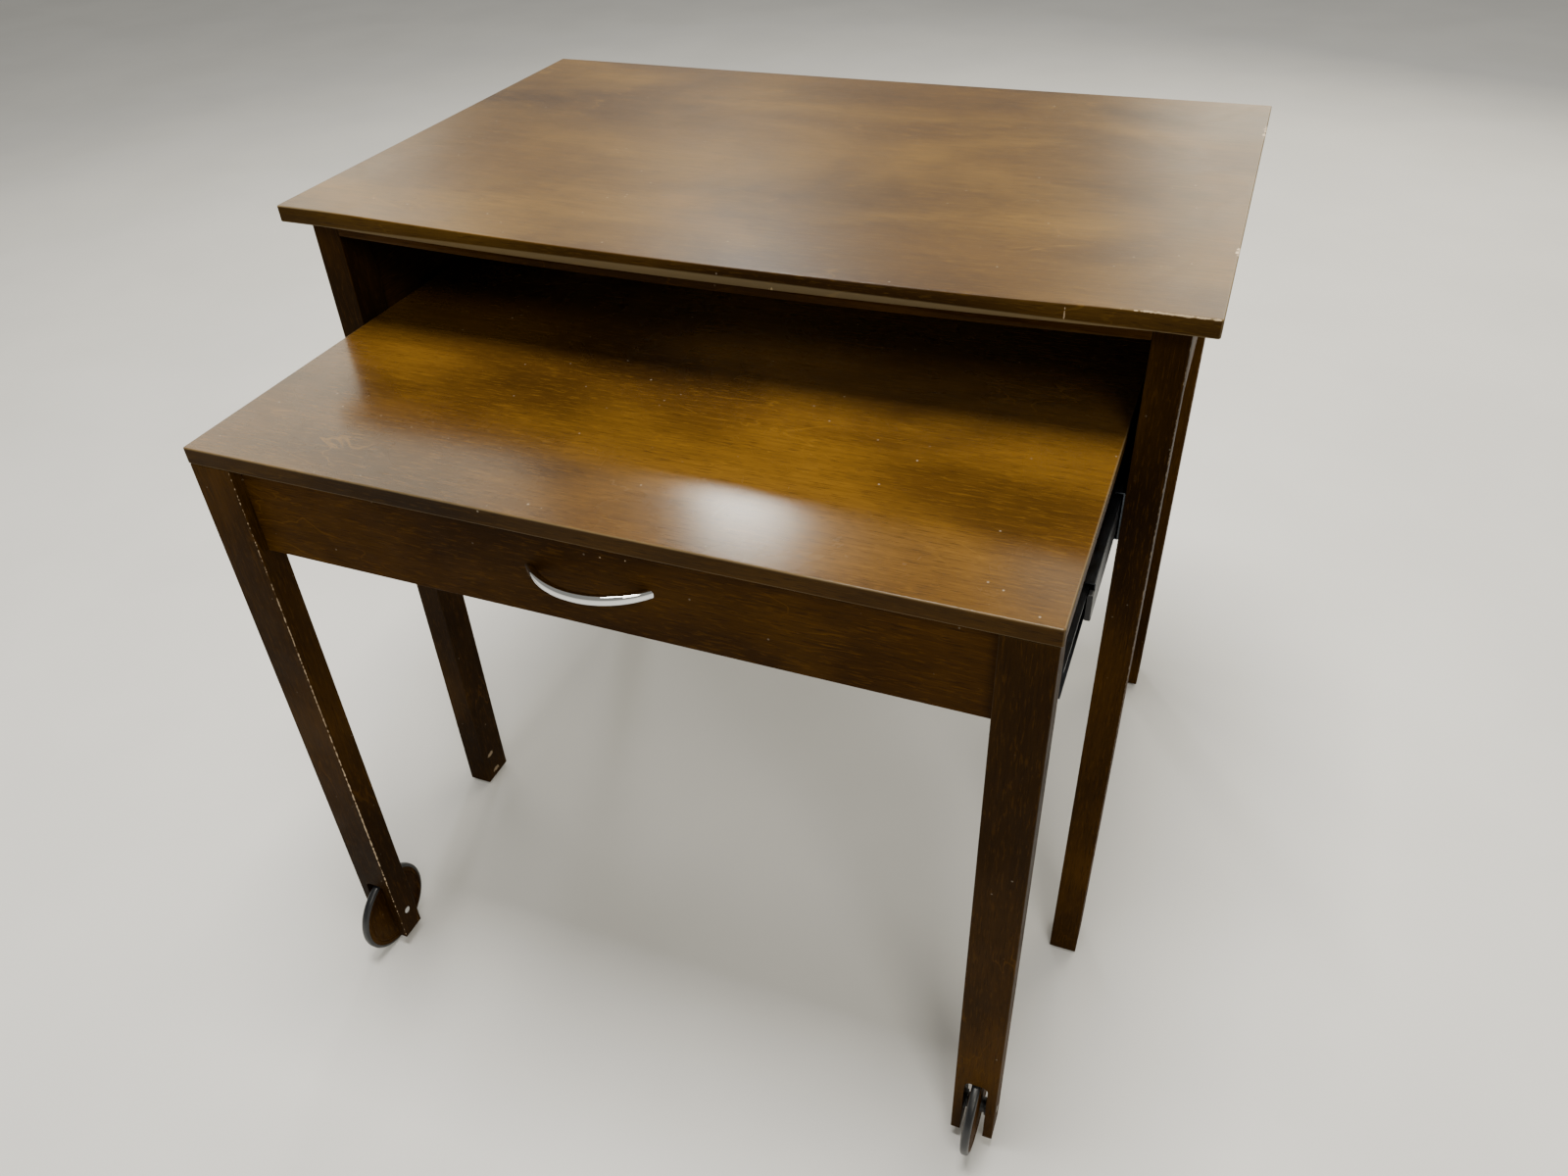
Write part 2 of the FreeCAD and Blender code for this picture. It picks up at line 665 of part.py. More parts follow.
def slide_balls(side, sign):
    """Outer balls run between cabinet and middle members, inner ones inside the middle."""
    steel = "slide_steel"
    ball_row("outer", side, sign, f"(cabinet_tall / 2 - {steel})", "(middle_tall / 2)",
             "outer_ball_line", f"({CABINET_Y} + outer_cage_front)")
    ball_row("inner", side, sign, f"(middle_tall / 2 - {steel})", "(drawer_tall / 2)",
             "inner_ball_line", f"({MIDDLE_Y} + inner_cage_front)")


def slide_screws(label, head_tall, face, sign_of_shank, front):
    """The screws of both slides. They run out of the web into the wood behind it."""
    screws = []
    for side, sign in SIDES:
        for y in SLIDE_SPOTS:
            long = "slide_screw_long + slide_steel"
            pin = screw("slide_head_dia", head_tall, "slide_screw_dia", long,
                        (sign * sign_of_shank, 0, 0))
            stand(pin, f"{sign} * ({RAIL_FACE_X} + {face})", f"{front} + {y}", "slide_level")
            screws.append(pin)
    group(label, screws)


# ---------------------------------------------------------------- front desk

LOWER_BLOCKS_Y = (f"({LOW_LEG_REAR} + block_inset)", f"({RAIL_REAR} - block_inset)")
RAIL_LEVELS = two_levels("fascia_tall")


def lower_top():
    body = board("lower_top", f"(2 * {LOW_HALF})", "low_top_deep", "board_thick")
    finish_top(body)
    drill_top_for_blocks(body, f"({RAIL_FACE_X} - board_thick)", LOWER_BLOCKS_Y, "-1 * pull_out")
    stand(body, "0", "-1 * pull_out", UNDER_LOW_TOP)


def fascia():
    """Front board of the pull-out desk, with the handle's two holes."""
    half = f"({LOW_LEG_X} - low_leg_wide / 2)"
    tall = "(fascia_tall - reveal)"
    body = board("fascia", f"(2 * {half})", "board_thick", tall)
    ease_board(body)
    spots = [("board_thick / 2", z) for z in RAIL_LEVELS]
    for side, sign in SIDES:
        drill(body, "YZ_Plane", f"{sign} * {half}", spots, DOWEL_HOLE, DOWEL_DEPTH, -sign)
    handle = [(f"handle_off_centre + {sign} * handle_screw_spacing / 2",
               f"handle_level - {FASCIA_BOTTOM}") for side, sign in SIDES]
    drill(body, "XZ_Plane", "0", handle, "handle_screw_dia + steel_hole_play", "board_thick", 1)
    stand(body, "0", "fascia_recess - pull_out", FASCIA_BOTTOM)


def side_rail(side, sign):
    """Board under the lower top that carries the drawer member of a slide."""
    body = board(f"side_rail_{side}", "board_thick", RAIL_LONG, "fascia_tall")
    ease_board(body)
    spots = [("0", z) for z in RAIL_LEVELS]
    drill(body, "XZ_Plane", "0", spots, DOWEL_HOLE, DOWEL_DEPTH, 1)
    outer = f"{sign} * board_thick / 2"
    hold = [(f"drawer_behind_leg + {y}", f"slide_level - {FASCIA_BOTTOM}") for y in SLIDE_SPOTS]
    drill(body, "YZ_Plane", outer, hold, SCREW_HOLE, SCREW_DEPTH, -sign)
    inner = f"{-sign} * board_thick / 2"
    blocks = [(f"{y} + block_long / 4 - ({LOW_LEG_REAR})", "fascia_tall - block_size / 2")
              for y in LOWER_BLOCKS_Y]
    drill(body, "YZ_Plane", inner, blocks, BLOCK_HOLE, BLOCK_DEPTH, sign)
    rear = [(f"{RAIL_LONG} - board_thick / 2", z) for z in RAIL_LEVELS]
    drill(body, "YZ_Plane", inner, rear, DOWEL_HOLE, "rail_dowel_bite + dowel_end_play", sign)
    stand(body, f"{sign} * {RAIL_X}", LOW_LEG_REAR, FASCIA_BOTTOM)


def rear_rail():
    half = f"({RAIL_FACE_X} - board_thick)"
    body = board("rear_rail", f"(2 * {half})", "board_thick", "fascia_tall")
    ease_board(body)
    spots = [("board_thick / 2", z) for z in RAIL_LEVELS]
    for side, sign in SIDES:
        drill(body, "YZ_Plane", f"{sign} * {half}", spots, DOWEL_HOLE,
              "dowel_long - rail_dowel_bite + dowel_end_play", -sign)
    stand(body, "0", f"{RAIL_REAR} - board_thick", FASCIA_BOTTOM)


def lower_leg(side, sign):
    """Front leg of the pull-out desk, slotted from below for its wheel."""
    tall = f"({UNDER_LOW_TOP} - low_leg_lift)"
    body = board(f"lower_leg_{side}", "low_leg_wide", "low_leg_deep", tall)
    ease_board(body)
    slot = new_sketch(body, "XZ_Plane", f"-{OVERSHOOT}")
    below = f"-{OVERSHOOT}"
    draw_outline(slot, box_corners("-1 * slot_wide / 2", below, "slot_wide / 2", SLOT_TOP))
    pocket(body, slot, f"low_leg_deep + 2 * {OVERSHOOT}")
    slot_top = sheet.wheel_dia + sheet.slot_over - sheet.low_leg_lift
    half = sheet.slot_wide / 2

    def is_slot_corner(edge):
        point = edge.Vertexes[0].Point
        return (runs_along(edge, "y") and abs(point.z - slot_top) < 1e-6
                and abs(abs(point.x) - half) < 1e-6)
    round_edges(body, "slot_corner", is_slot_corner)
    axle = [("low_leg_deep / 2", "wheel_dia / 2 - low_leg_lift")]
    drill(body, "YZ_Plane", "-1 * low_leg_wide / 2", axle, "axle_dia + wood_hole_play / 2",
          "low_leg_wide", 1)
    bottom = f"({FASCIA_BOTTOM} - low_leg_lift)"
    fascia_spots = [("fascia_recess + board_thick / 2", f"{bottom} + {z}") for z in RAIL_LEVELS]
    drill(body, "YZ_Plane", f"{-sign} * low_leg_wide / 2", fascia_spots, DOWEL_HOLE, DOWEL_DEPTH,
          sign)
    rail_x = f"{sign} * ({RAIL_X} - {LOW_LEG_X})"
    rail_spots = [(rail_x, f"{bottom} + {z}") for z in RAIL_LEVELS]
    drill(body, "XZ_Plane", "low_leg_deep", rail_spots, DOWEL_HOLE, DOWEL_DEPTH, -1)
    stand(body, f"{sign} * {LOW_LEG_X}", "-1 * pull_out", "low_leg_lift")


def pull_dowels():
    """Dowels that join the lower legs to the fascia and side rails, and those to the rear rail."""
    pins = []
    fascia_y = "fascia_recess + board_thick / 2 - pull_out"
    rear_x = f"({RAIL_FACE_X} - board_thick - dowel_long / 2 + rail_dowel_bite)"
    for side, sign in SIDES:
        for height in RAIL_LEVELS:
            z = f"{FASCIA_BOTTOM} + {height}"
            pins.append(dowel((1, 0, 0), f"{sign} * ({LOW_LEG_X} - low_leg_wide / 2)", fascia_y, z))
            pins.append(dowel((0, 1, 0), f"{sign} * {RAIL_X}", LOW_LEG_REAR, z))
            pins.append(dowel((1, 0, 0), f"{sign} * {rear_x}", f"{RAIL_REAR} - board_thick / 2", z))
    group("pull_dowels", pins)


def handle():
    """Bow handle: a flattened bar bent to one arc, its feet cut flat against the fascia."""
    body = new_body("handle")
    sketch = new_sketch(body, "YZ_Plane")
    inner = f"-1 * ({BOW_RADIUS} - handle_thick / 2)"
    outer = f"-1 * ({BOW_RADIUS} + handle_thick / 2)"
    draw_outline(sketch, box_corners(outer, "-1 * handle_tall / 2", inner, "handle_tall / 2"))
    revolve(body, sketch, "V_Axis")
    round_edges(body, "handle_edge", lambda edge: True)
    behind = new_sketch(body, "XY_Plane", "-1 * handle_tall")
    face = f"-1 * ({BOW_RADIUS} - {BOW_RISE})"
    reach = f"(2 * {BOW_RADIUS})"
    draw_outline(behind, box_corners(f"-1 * {reach}", face, reach, reach))
    pocket(body, behind, "2 * handle_tall", True)
    spots = [(f"{sign} * handle_screw_spacing / 2", "0") for side, sign in SIDES]
    drill(body, "XZ_Plane", face, spots, "handle_screw_dia + wood_hole_play",
          "handle_screw_bite + handle_hole_over", -1)
    stand(body, "handle_off_centre", f"fascia_recess - pull_out + {BOW_RADIUS} - {BOW_RISE}",
          "handle_level")


def handle_screws():
    screws = []
    for side, sign in SIDES:
        pin = screw("handle_screw_head", "block_head_tall", "handle_screw_dia",
                    "board_thick + handle_screw_bite", (0, -1, 0))
        stand(pin, f"handle_off_centre + {sign} * handle_screw_spacing / 2",
              "fascia_recess + board_thick - pull_out", "handle_level")
        screws.append(pin)
    group("handle_screws", screws)


# ---------------------------------------------------------------- wheels

DISC_RADIUS = "(wheel_dia / 2 - tread_thick)"
AXLE_BORE = "(axle_dia / 2 + axle_play)"


def turned(label, corners, x):
    """A piece turned about the axle. Corners are (along the axle, out from it)."""
    body = new_body(label)
    sketch = new_sketch(body, "XZ_Plane")
    draw_outline(sketch, corners)
    revolve(body, sketch, "H_Axis")
    stand(body, x, AXLE_Y, "wheel_dia / 2")
    return body


def wheel_disc(side, sign):
    """Wooden disc with a fine groove round each face."""
    face = "(disc_wide / 2)"
    floor = f"({face} - groove_deep)"
    middle = f"({DISC_RADIUS} - groove_inset)"
    low = f"({middle} - groove_wide / 2)"
    high = f"({middle} + groove_wide / 2)"
    right = [(face, "hub_dia / 2"), (face, low), (floor, low), (floor, high), (face, high),
             (face, DISC_RADIUS)]
    left = [(f"-1 * {x}", z) for x, z in reversed(right)]
    turned(f"wheel_disc_{side}", right + left, f"{sign} * {LOW_LEG_X}")


def tyre(side, sign):
    half = "(tread_wide / 2)"
    corners = box_corners(f"-1 * {half}", DISC_RADIUS, half, "wheel_dia / 2")
    body = turned(f"tyre_{side}", corners, f"{sign} * {LOW_LEG_X}")
    rolling = sheet.wheel_dia / 2

    def is_tread_edge(edge):
        return not edge.Degenerated and abs(edge.BoundBox.ZMax - rolling) < 1e-6 and edge.Closed
    round_edges(body, "tread_round", is_tread_edge)


def hub_bush(side, sign):
    """Turned bush in the disc, running on the axle between two washers."""
    half = "(slot_wide / 2 - washer_thick - wheel_play)"
    corners = box_corners(f"-1 * {half}", AXLE_BORE, half, "hub_dia / 2")
    turned(f"hub_bush_{side}", corners, f"{sign} * {LOW_LEG_X}")


def axle_pin(side, sign):
    body = new_body(f"axle_pin_{side}")
    sketch = new_sketch(body, "YZ_Plane", "-1 * low_leg_wide / 2")
    draw_circles(sketch, [("0", "0")], "axle_dia")
    pad(body, sketch, "low_leg_wide")
    round_edges(body, "axle_round", lambda edge: edge.Curve.TypeId == "Part::GeomCircle")
    stand(body, f"{sign} * {LOW_LEG_X}", AXLE_Y, "wheel_dia / 2")


def axle_washers():
    """A washer on each side of each wheel, against the walls of the slot."""
    rings = []
    for side, sign in SIDES:
        for wall in (-1, 1):
            ring = new_ring()
            x = f"{sign} * {LOW_LEG_X} + {wall} * (slot_wide / 2 - washer_thick / 2)"
            stand(ring, f"{x} - washer_thick / 2", AXLE_Y, "wheel_dia / 2")
            rings.append(ring)
    group("axle_washers", rings)


def new_ring():
    disc = doc.addObject("Part::Cylinder", "Disc")
    bind(disc, Radius="washer_dia / 2", Height="washer_thick")
    bore = doc.addObject("Part::Cylinder", "Bore")
    bind(bore, Radius=AXLE_BORE, Height="washer_thick")
    ring = doc.addObject("Part::Cut", "Washer")
    ring.Base = disc
    ring.Tool = bore
    ring.Placement.Rotation = FreeCAD.Rotation(UP, FreeCAD.Vector(1, 0, 0))
    return ring


# ---------------------------------------------------------------- assembly and files

def build_fixed_desk():
    upper_top()
    front_stretcher()
    back_panel()
    for side, sign in SIDES:
        fixed_leg("front", side, sign)
        fixed_leg("rear", side, sign)
        side_panel(side, sign)
        slide_batten(side, sign)
        cabinet_member(side, sign)
    frame_dowels()
    leg_glides()
    glue_blocks("upper_blocks", "upper_block_screws", PANEL_FACE_X, UPPER_BLOCKS_Y, UNDER_TOP)
    slide_screws("cabinet_screws", "cabinet_head_tall", "slide_thick - slide_steel", 1, CABINET_Y)


def build_slides():
    for side, sign in SIDES:
        middle_member(side, sign)
        slide_bumper(side, sign)
        slide_balls(side, sign)


def build_front_desk():
    lower_top()
    fascia()
    rear_rail()
    for side, sign in SIDES:
        lower_leg(side, sign)
        side_rail(side, sign)
        drawer_member(side, sign)
        axle_pin(side, sign)
    pull_dowels()
    handle()
    handle_screws()
    axle_washers()
    glue_blocks("lower_blocks", "lower_block_screws", f"({RAIL_FACE_X} - board_thick)",
                LOWER_BLOCKS_Y, UNDER_LOW_TOP)
    slide_screws("drawer_screws", "drawer_head_tall", "slide_steel", -1, DRAWER_Y)


def build_wheels():
    for side, sign in SIDES:
        wheel_disc(side, sign)
        tyre(side, sign)
        hub_bush(side, sign)


def check_document():
    """Stop if any object failed or any sub-part has no sound shape."""
    for thing in doc.Objects:
        if "Invalid" in thing.State or "Error" in thing.State:
            raise ValueError(f"{thing.Name} ({thing.Label}) is {thing.State}")
    for node in nodes:
        if node.Shape.isNull() or not node.Shape.isValid():
            raise ValueError(f"{node.Label} has no valid shape")


def write_parts():
    os.makedirs("parts", exist_ok=True)
    for node in nodes:
        node.Shape.exportStep(os.path.join("parts", node.Label + ".step"))


fill_sheet()
build_fixed_desk()
build_slides()
build_front_desk()
build_wheels()
doc.recompute()
check_document()
write_parts()
print(len(nodes), "sub-parts written")
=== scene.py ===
"""Looks of an extending two-tier desk: stained boards, chrome handle, steel slides and wheels."""

import logging
import math
from dataclasses import dataclass, field, replace
from enum import Enum
from typing import Callable, Union

import bmesh
import bpy
from mathutils import Euler, Matrix, Quaternion, Vector


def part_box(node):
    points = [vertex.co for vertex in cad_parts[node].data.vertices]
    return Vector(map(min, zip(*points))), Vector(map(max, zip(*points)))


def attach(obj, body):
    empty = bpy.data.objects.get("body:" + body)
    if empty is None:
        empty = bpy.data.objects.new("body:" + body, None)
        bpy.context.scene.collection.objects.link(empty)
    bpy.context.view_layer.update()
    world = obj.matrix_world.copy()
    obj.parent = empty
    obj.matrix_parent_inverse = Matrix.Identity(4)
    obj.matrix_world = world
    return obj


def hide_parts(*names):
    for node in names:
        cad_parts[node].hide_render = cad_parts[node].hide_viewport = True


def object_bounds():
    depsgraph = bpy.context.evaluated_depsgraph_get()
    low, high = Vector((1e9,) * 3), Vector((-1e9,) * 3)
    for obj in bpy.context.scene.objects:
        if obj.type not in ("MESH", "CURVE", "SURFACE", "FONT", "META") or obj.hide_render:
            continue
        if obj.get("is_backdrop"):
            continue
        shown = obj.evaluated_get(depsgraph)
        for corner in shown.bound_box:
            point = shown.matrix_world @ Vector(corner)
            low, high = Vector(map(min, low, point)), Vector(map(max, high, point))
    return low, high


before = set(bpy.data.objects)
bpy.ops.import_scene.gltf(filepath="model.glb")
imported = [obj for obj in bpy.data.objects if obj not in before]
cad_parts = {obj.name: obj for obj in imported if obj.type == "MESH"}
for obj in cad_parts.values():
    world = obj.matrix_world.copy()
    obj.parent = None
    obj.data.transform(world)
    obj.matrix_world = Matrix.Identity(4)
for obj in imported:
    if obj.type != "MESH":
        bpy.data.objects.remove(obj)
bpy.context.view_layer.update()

log = logging.getLogger("extending_desk")

Socket = bpy.types.NodeSocket
Feed = Union[Socket, float, tuple]
Triple = tuple[float, float, float]
Colour = tuple[float, float, float, float]
SIDES = ("left", "right")
MM = 0.001


# --------------------------------------------------------------------------- shader helpers

class Tree:
    """Adds nodes to a shader tree and joins their sockets."""

    def __init__(self, tree: bpy.types.NodeTree) -> None:
        """Keep the tree that nodes are added to."""
        self.tree = tree

    def feed(self, target: Socket, value: Feed) -> None:
        """Give an input a link or a plain value.

        Args:
            target: The input.
            value: The socket or plain value that it gets.
        """
        if isinstance(value, Socket):
            self.tree.links.new(value, target)
        else:
            target.default_value = value

    def add(self, kind: str, feeds: dict[Union[str, int], Feed] | None = None,
            **settings: object) -> bpy.types.Node:
        """Add a node.

        Args:
            kind: The node's type name, such as ShaderNodeMath.
            feeds: Input name or number to the socket or plain value that it gets.
            settings: Attributes of the node, such as operation.

        Returns:
            The new node.
        """
        node = self.tree.nodes.new(kind)
        for name, value in settings.items():
            setattr(node, name, value)
        for key, value in (feeds or {}).items():
            self.feed(node.inputs[key], value)
        return node

    def maths(self, operation: str, *values: Feed) -> Socket:
        """The result of a Math node on these values."""
        return self.add("ShaderNodeMath", dict(enumerate(values)), operation=operation).outputs[0]

    def vector(self, operation: str, *values: Feed) -> Socket:
        """The result of a Vector Math node: a number for a length, else a vector."""
        node = self.add("ShaderNodeVectorMath", dict(enumerate(values)), operation=operation)
        return node.outputs["Value" if operation == "LENGTH" else "Vector"]

    def noise(self, place: Feed, scale: float, detail: float = 3.0, distortion: float = 0.0,
              roughness: float = 0.5) -> Socket:
        """Sample a Noise Texture.

        Args:
            place: Where it is sampled.
            scale: How many blots it has in a metre.
            detail: How many finer layers it adds.
            distortion: How far its blots are dragged.
            roughness: How strong its finer layers are.

        Returns:
            Its value, around a half.
        """
        feeds = {"Vector": place, "Scale": scale, "Detail": detail, "Distortion": distortion,
                 "Roughness": roughness}
        return self.add("ShaderNodeTexNoise", feeds).outputs[0]

    def ranged(self, value: Feed, low: Feed, high: Feed, to_low: Feed = 0.0,
               to_high: Feed = 1.0) -> Socket:
        """Move a value smoothly from one range to another.

        Args:
            value: The value.
            low: Where the first range starts.
            high: Where the first range ends.
            to_low: What low becomes.
            to_high: What high becomes.

        Returns:
            The moved value.
        """
        feeds = {0: value, 1: low, 2: high, 3: to_low, 4: to_high}
        return self.add("ShaderNodeMapRange", feeds, interpolation_type="SMOOTHSTEP").outputs[0]

    def mix(self, share: Feed, first: Feed, second: Feed, blend: str = "MIX") -> Socket:
        """Mix two colours.

        Args:
            share: How much of the second one is laid over the first.
            first: The first colour.
            second: The second colour.
            blend: The blend mode.

        Returns:
            The mixed colour.
        """
        feeds = {0: share, 6: first, 7: second}
        return self.add("ShaderNodeMix", feeds, data_type="RGBA", blend_type=blend).outputs[2]

    def tint(self, colour: Feed, tone: Socket) -> Socket:
        """A colour multiplied by a tone."""
        return self.mix(1.0, colour, tone, "MULTIPLY")

    def group(self, group: bpy.types.NodeTree, feeds: dict[str, Feed]) -> dict[str, Socket]:
        """Place a shared node group.

        Args:
            group: The group.
            feeds: Input name to the socket or plain value that it gets.

        Returns:
            The outputs by name.
        """
        node = self.tree.nodes.new("ShaderNodeGroup")
        node.node_tree = group
        for key, value in feeds.items():
            self.feed(node.inputs[key], value)
        return {output.name: output for output in node.outputs}


SOCKET_KINDS = {"value": "NodeSocketFloat", "vector": "NodeSocketVector"}


def new_group(name: str, inputs: dict[str, str], outputs: tuple[str, ...],
              build: Callable[[Tree, dict[str, Socket]], dict[str, Socket]]) -> bpy.types.NodeTree:
    """Make a shader node group, or find it if it was made before.

    Args:
        name: The group's name.
        inputs: Each input's name and kind.
        outputs: The name of each output, all of them values.
        build: Fills the group: it gets the tree and the inputs, and returns each output.

    Returns:
        The group.
    """
    found = bpy.data.node_groups.get(name)
    if found:
        return found
    group = bpy.data.node_groups.new(name, "ShaderNodeTree")
    for label, kind in inputs.items():
        group.interface.new_socket(label, in_out="INPUT", socket_type=SOCKET_KINDS[kind])
    for label in outputs:
        group.interface.new_socket(label, in_out="OUTPUT", socket_type=SOCKET_KINDS["value"])
    source = group.nodes.new("NodeGroupInput")
    target = group.nodes.new("NodeGroupOutput")
    given = {label: source.outputs[label] for label in inputs}
    for label, socket in build(Tree(group), given).items():
        group.links.new(socket, target.inputs[label])
    return group


def new_material(name: str) -> tuple[bpy.types.Material, Tree, bpy.types.Node, Socket]:
    """Make an empty material.

    Args:
        name: The material's name.

    Returns:
        The material, its tree, its Principled shader and the Object coordinates.
    """
    material = bpy.data.materials.new(name)
    material.use_nodes = True
    tree = Tree(material.node_tree)
    shader = material.node_tree.nodes["Principled BSDF"]
    place = tree.add("ShaderNodeTexCoord").outputs["Object"]
    return material, tree, shader, place


# --------------------------------------------------------------------------- shared node groups

@dataclass(frozen=True)
class StainLayer:
    """One layer of noise in a veneer whose grain runs along X.

    stretch draws the blots out along the grain, shift moves them off those of the other layers, and
    the noise values low and high become 0 and 1.
    """

    scale: float
    stretch: float
    detail: float
    distortion: float
    roughness: float
    low: float
    high: float
    shift: Triple = (0.0, 0.0, 0.0)

    def draw(self, tree: Tree, place: Socket) -> Socket:
        """Sample the layer.

        Args:
            tree: The tree that gets the nodes.
            place: Where it is sampled.

        Returns:
            A share from 0 to 1.
        """
        along = tree.vector("MULTIPLY", place, (self.stretch, 1.0, 1.0))
        moved = tree.vector("ADD", along, self.shift)
        value = tree.noise(moved, self.scale, self.detail, self.distortion, self.roughness)
        return tree.ranged(value, self.low, self.high)


STAIN_LAYERS = {
    "Clouds": StainLayer(scale=5.0, stretch=0.6, detail=2.5, distortion=0.4, roughness=0.45,
                         low=0.32, high=0.66),
    "Patches": StainLayer(scale=6.5, stretch=0.6, detail=3.5, distortion=0.5, roughness=0.5,
                          low=0.4, high=0.72, shift=(3.1, 1.7, 0.4)),
    "Streaks": StainLayer(scale=240.0, stretch=0.035, detail=4.0, distortion=0.3, roughness=0.6,
                          low=0.3, high=0.7),
    "Pores": StainLayer(scale=1100.0, stretch=0.05, detail=2.0, distortion=0.0, roughness=0.6,
                        low=0.55, high=0.68),
    "Flecks": StainLayer(scale=620.0, stretch=0.11, detail=2.0, distortion=0.4, roughness=0.6,
                         low=0.54, high=0.66, shift=(5.3, 2.9, 1.1)),
}
FIGURE_SCALE, FIGURE_STRETCH, FIGURE_DRAG = 26.0, 0.3, 0.8
FIGURE_LINE = 0.012
FIGURE_PATCH_SCALE, FIGURE_PATCH_LOW, FIGURE_PATCH_HIGH = 8.0, 0.54, 0.64
SAND_SCALE = 1500.0
NOISE_MIDDLE = 0.5


def grain_group() -> bpy.types.NodeTree:
    """The group of stain clouds, long streaks, short pores and fine curls of a veneer."""

    def build(tree: Tree, given: dict[str, Socket]) -> dict[str, Socket]:
        """Fill the group, as new_group asks."""
        place = tree.vector("ADD", given["Vector"], given["Offset"])
        layers = {name: layer.draw(tree, place) for name, layer in STAIN_LAYERS.items()}
        along = tree.vector("MULTIPLY", place, (FIGURE_STRETCH, 1.0, 1.0))
        curls = tree.noise(along, FIGURE_SCALE, detail=3.0, distortion=FIGURE_DRAG)
        off_middle = tree.maths("ABSOLUTE", tree.maths("SUBTRACT", curls, NOISE_MIDDLE))
        line = tree.ranged(off_middle, 0.0, FIGURE_LINE, 1.0, 0.0)
        patch = tree.noise(place, FIGURE_PATCH_SCALE, detail=2.0)
        here = tree.ranged(patch, FIGURE_PATCH_LOW, FIGURE_PATCH_HIGH)
        figure = tree.maths("MULTIPLY", line, here)
        sand = tree.noise(place, SAND_SCALE, detail=2.0)
        return {**layers, "Figure": figure, "Sand": sand}

    outputs = (*STAIN_LAYERS, "Figure", "Sand")
    return new_group("stain_grain", {"Vector": "vector", "Offset": "vector"}, outputs, build)


WEAR_PATCH_SCALE, WEAR_FRAY_SCALE = 38.0, 420.0
WEAR_THRESHOLD, WEAR_STEP, WEAR_FADE = 0.72, 0.12, 0.25
# The pale band along every arris reaches this many wear widths: painted highlight and rubbed
# finish.
SHEEN_AND_RUB_REACH = 1.1
RIM_FULL, RIM_END = 0.3 * MM, 1.2 * MM


def edge_wear_and_sheen_group() -> bpy.types.NodeTree:
    """The group of where a box-shaped board's edges are rubbed through, the pale band along every
    arris that paints a highlight and a rubbed finish, and where its rims are.
    """

    def build(tree: Tree, given: dict[str, Socket]) -> dict[str, Socket]:
        """Fill the group, as new_group asks."""
        place = given["Vector"]
        away = tree.vector("ABSOLUTE", tree.vector("SUBTRACT", place, given["Centre"]))
        inside = tree.vector("SUBTRACT", given["Half Size"], away)
        depths = tree.add("ShaderNodeSeparateXYZ", {0: inside}).outputs
        edges = [tree.maths("MAXIMUM", depths[a], depths[b]) for a, b in ((0, 1), (1, 2), (0, 2))]
        nearest = tree.maths("MINIMUM", tree.maths("MINIMUM", edges[0], edges[1]), edges[2])
        patches = tree.noise(place, WEAR_PATCH_SCALE, detail=5.0, distortion=0.2, roughness=0.7)
        fray = tree.noise(place, WEAR_FRAY_SCALE, detail=3.0, roughness=0.7)
        start = tree.maths("SUBTRACT", WEAR_THRESHOLD, given["Amount"])
        reach = tree.ranged(patches, start, tree.maths("ADD", start, WEAR_STEP))
        jagged = tree.maths("MULTIPLY", reach, tree.ranged(fray, 0.3, 0.65, 0.25, 1.2))
        share = tree.maths("DIVIDE", nearest, given["Width"])
        side = tree.maths("MINIMUM", depths[0], depths[1])
        return {
            "Worn": tree.ranged(tree.maths("SUBTRACT", jagged, share), 0.0, WEAR_FADE),
            # Pale band along every arris: painted highlight and rubbed finish.
            "Rubbed": tree.ranged(share, 0.0, SHEEN_AND_RUB_REACH, 1.0, 0.0),
            "Rim": tree.ranged(side, RIM_FULL, RIM_END, 1.0, 0.0),
        }

    inputs = {"Vector": "vector", "Centre": "vector", "Half Size": "vector", "Width": "value",
              "Amount": "value"}
    return new_group("edge_wear_and_sheen", inputs, ("Worn", "Rubbed", "Rim"), build)


SMEAR_SCALE, SPECK_SCALE, RIPPLE_SCALE = 9.0, 95.0, 24.0
SPECK_CORE, SPECK_EDGE = 0.05, 0.11
SPECK_PATCH_SCALE, SPECK_PATCH_LOW, SPECK_PATCH_HIGH = 60.0, 0.58, 0.66


def lacquer_group() -> bpy.types.NodeTree:
    """The group of a hand-wiped surface: smears, tiny specks of dust and a slow ripple."""

    def build(tree: Tree, given: dict[str, Socket]) -> dict[str, Socket]:
        """Fill the group, as new_group asks."""
        place = given["Vector"]
        smears = tree.noise(place, SMEAR_SCALE, detail=5.0, distortion=1.2, roughness=0.6)
        cells = tree.add("ShaderNodeTexVoronoi", {"Vector": place, "Scale": SPECK_SCALE})
        dots = tree.ranged(cells.outputs["Distance"], SPECK_CORE, SPECK_EDGE, 1.0, 0.0)
        patch = tree.noise(place, SPECK_PATCH_SCALE, detail=1.0)
        here = tree.ranged(patch, SPECK_PATCH_LOW, SPECK_PATCH_HIGH)
        return {
            "Smears": tree.ranged(smears, 0.35, 0.7),
            "Specks": tree.maths("MULTIPLY", dots, here),
            "Ripple": tree.noise(place, RIPPLE_SCALE, detail=2.0),
        }

    outputs = ("Smears", "Specks", "Ripple")
    return new_group("lacquer_surface", {"Vector": "vector"}, outputs, build)


# --------------------------------------------------------------------------- finishes

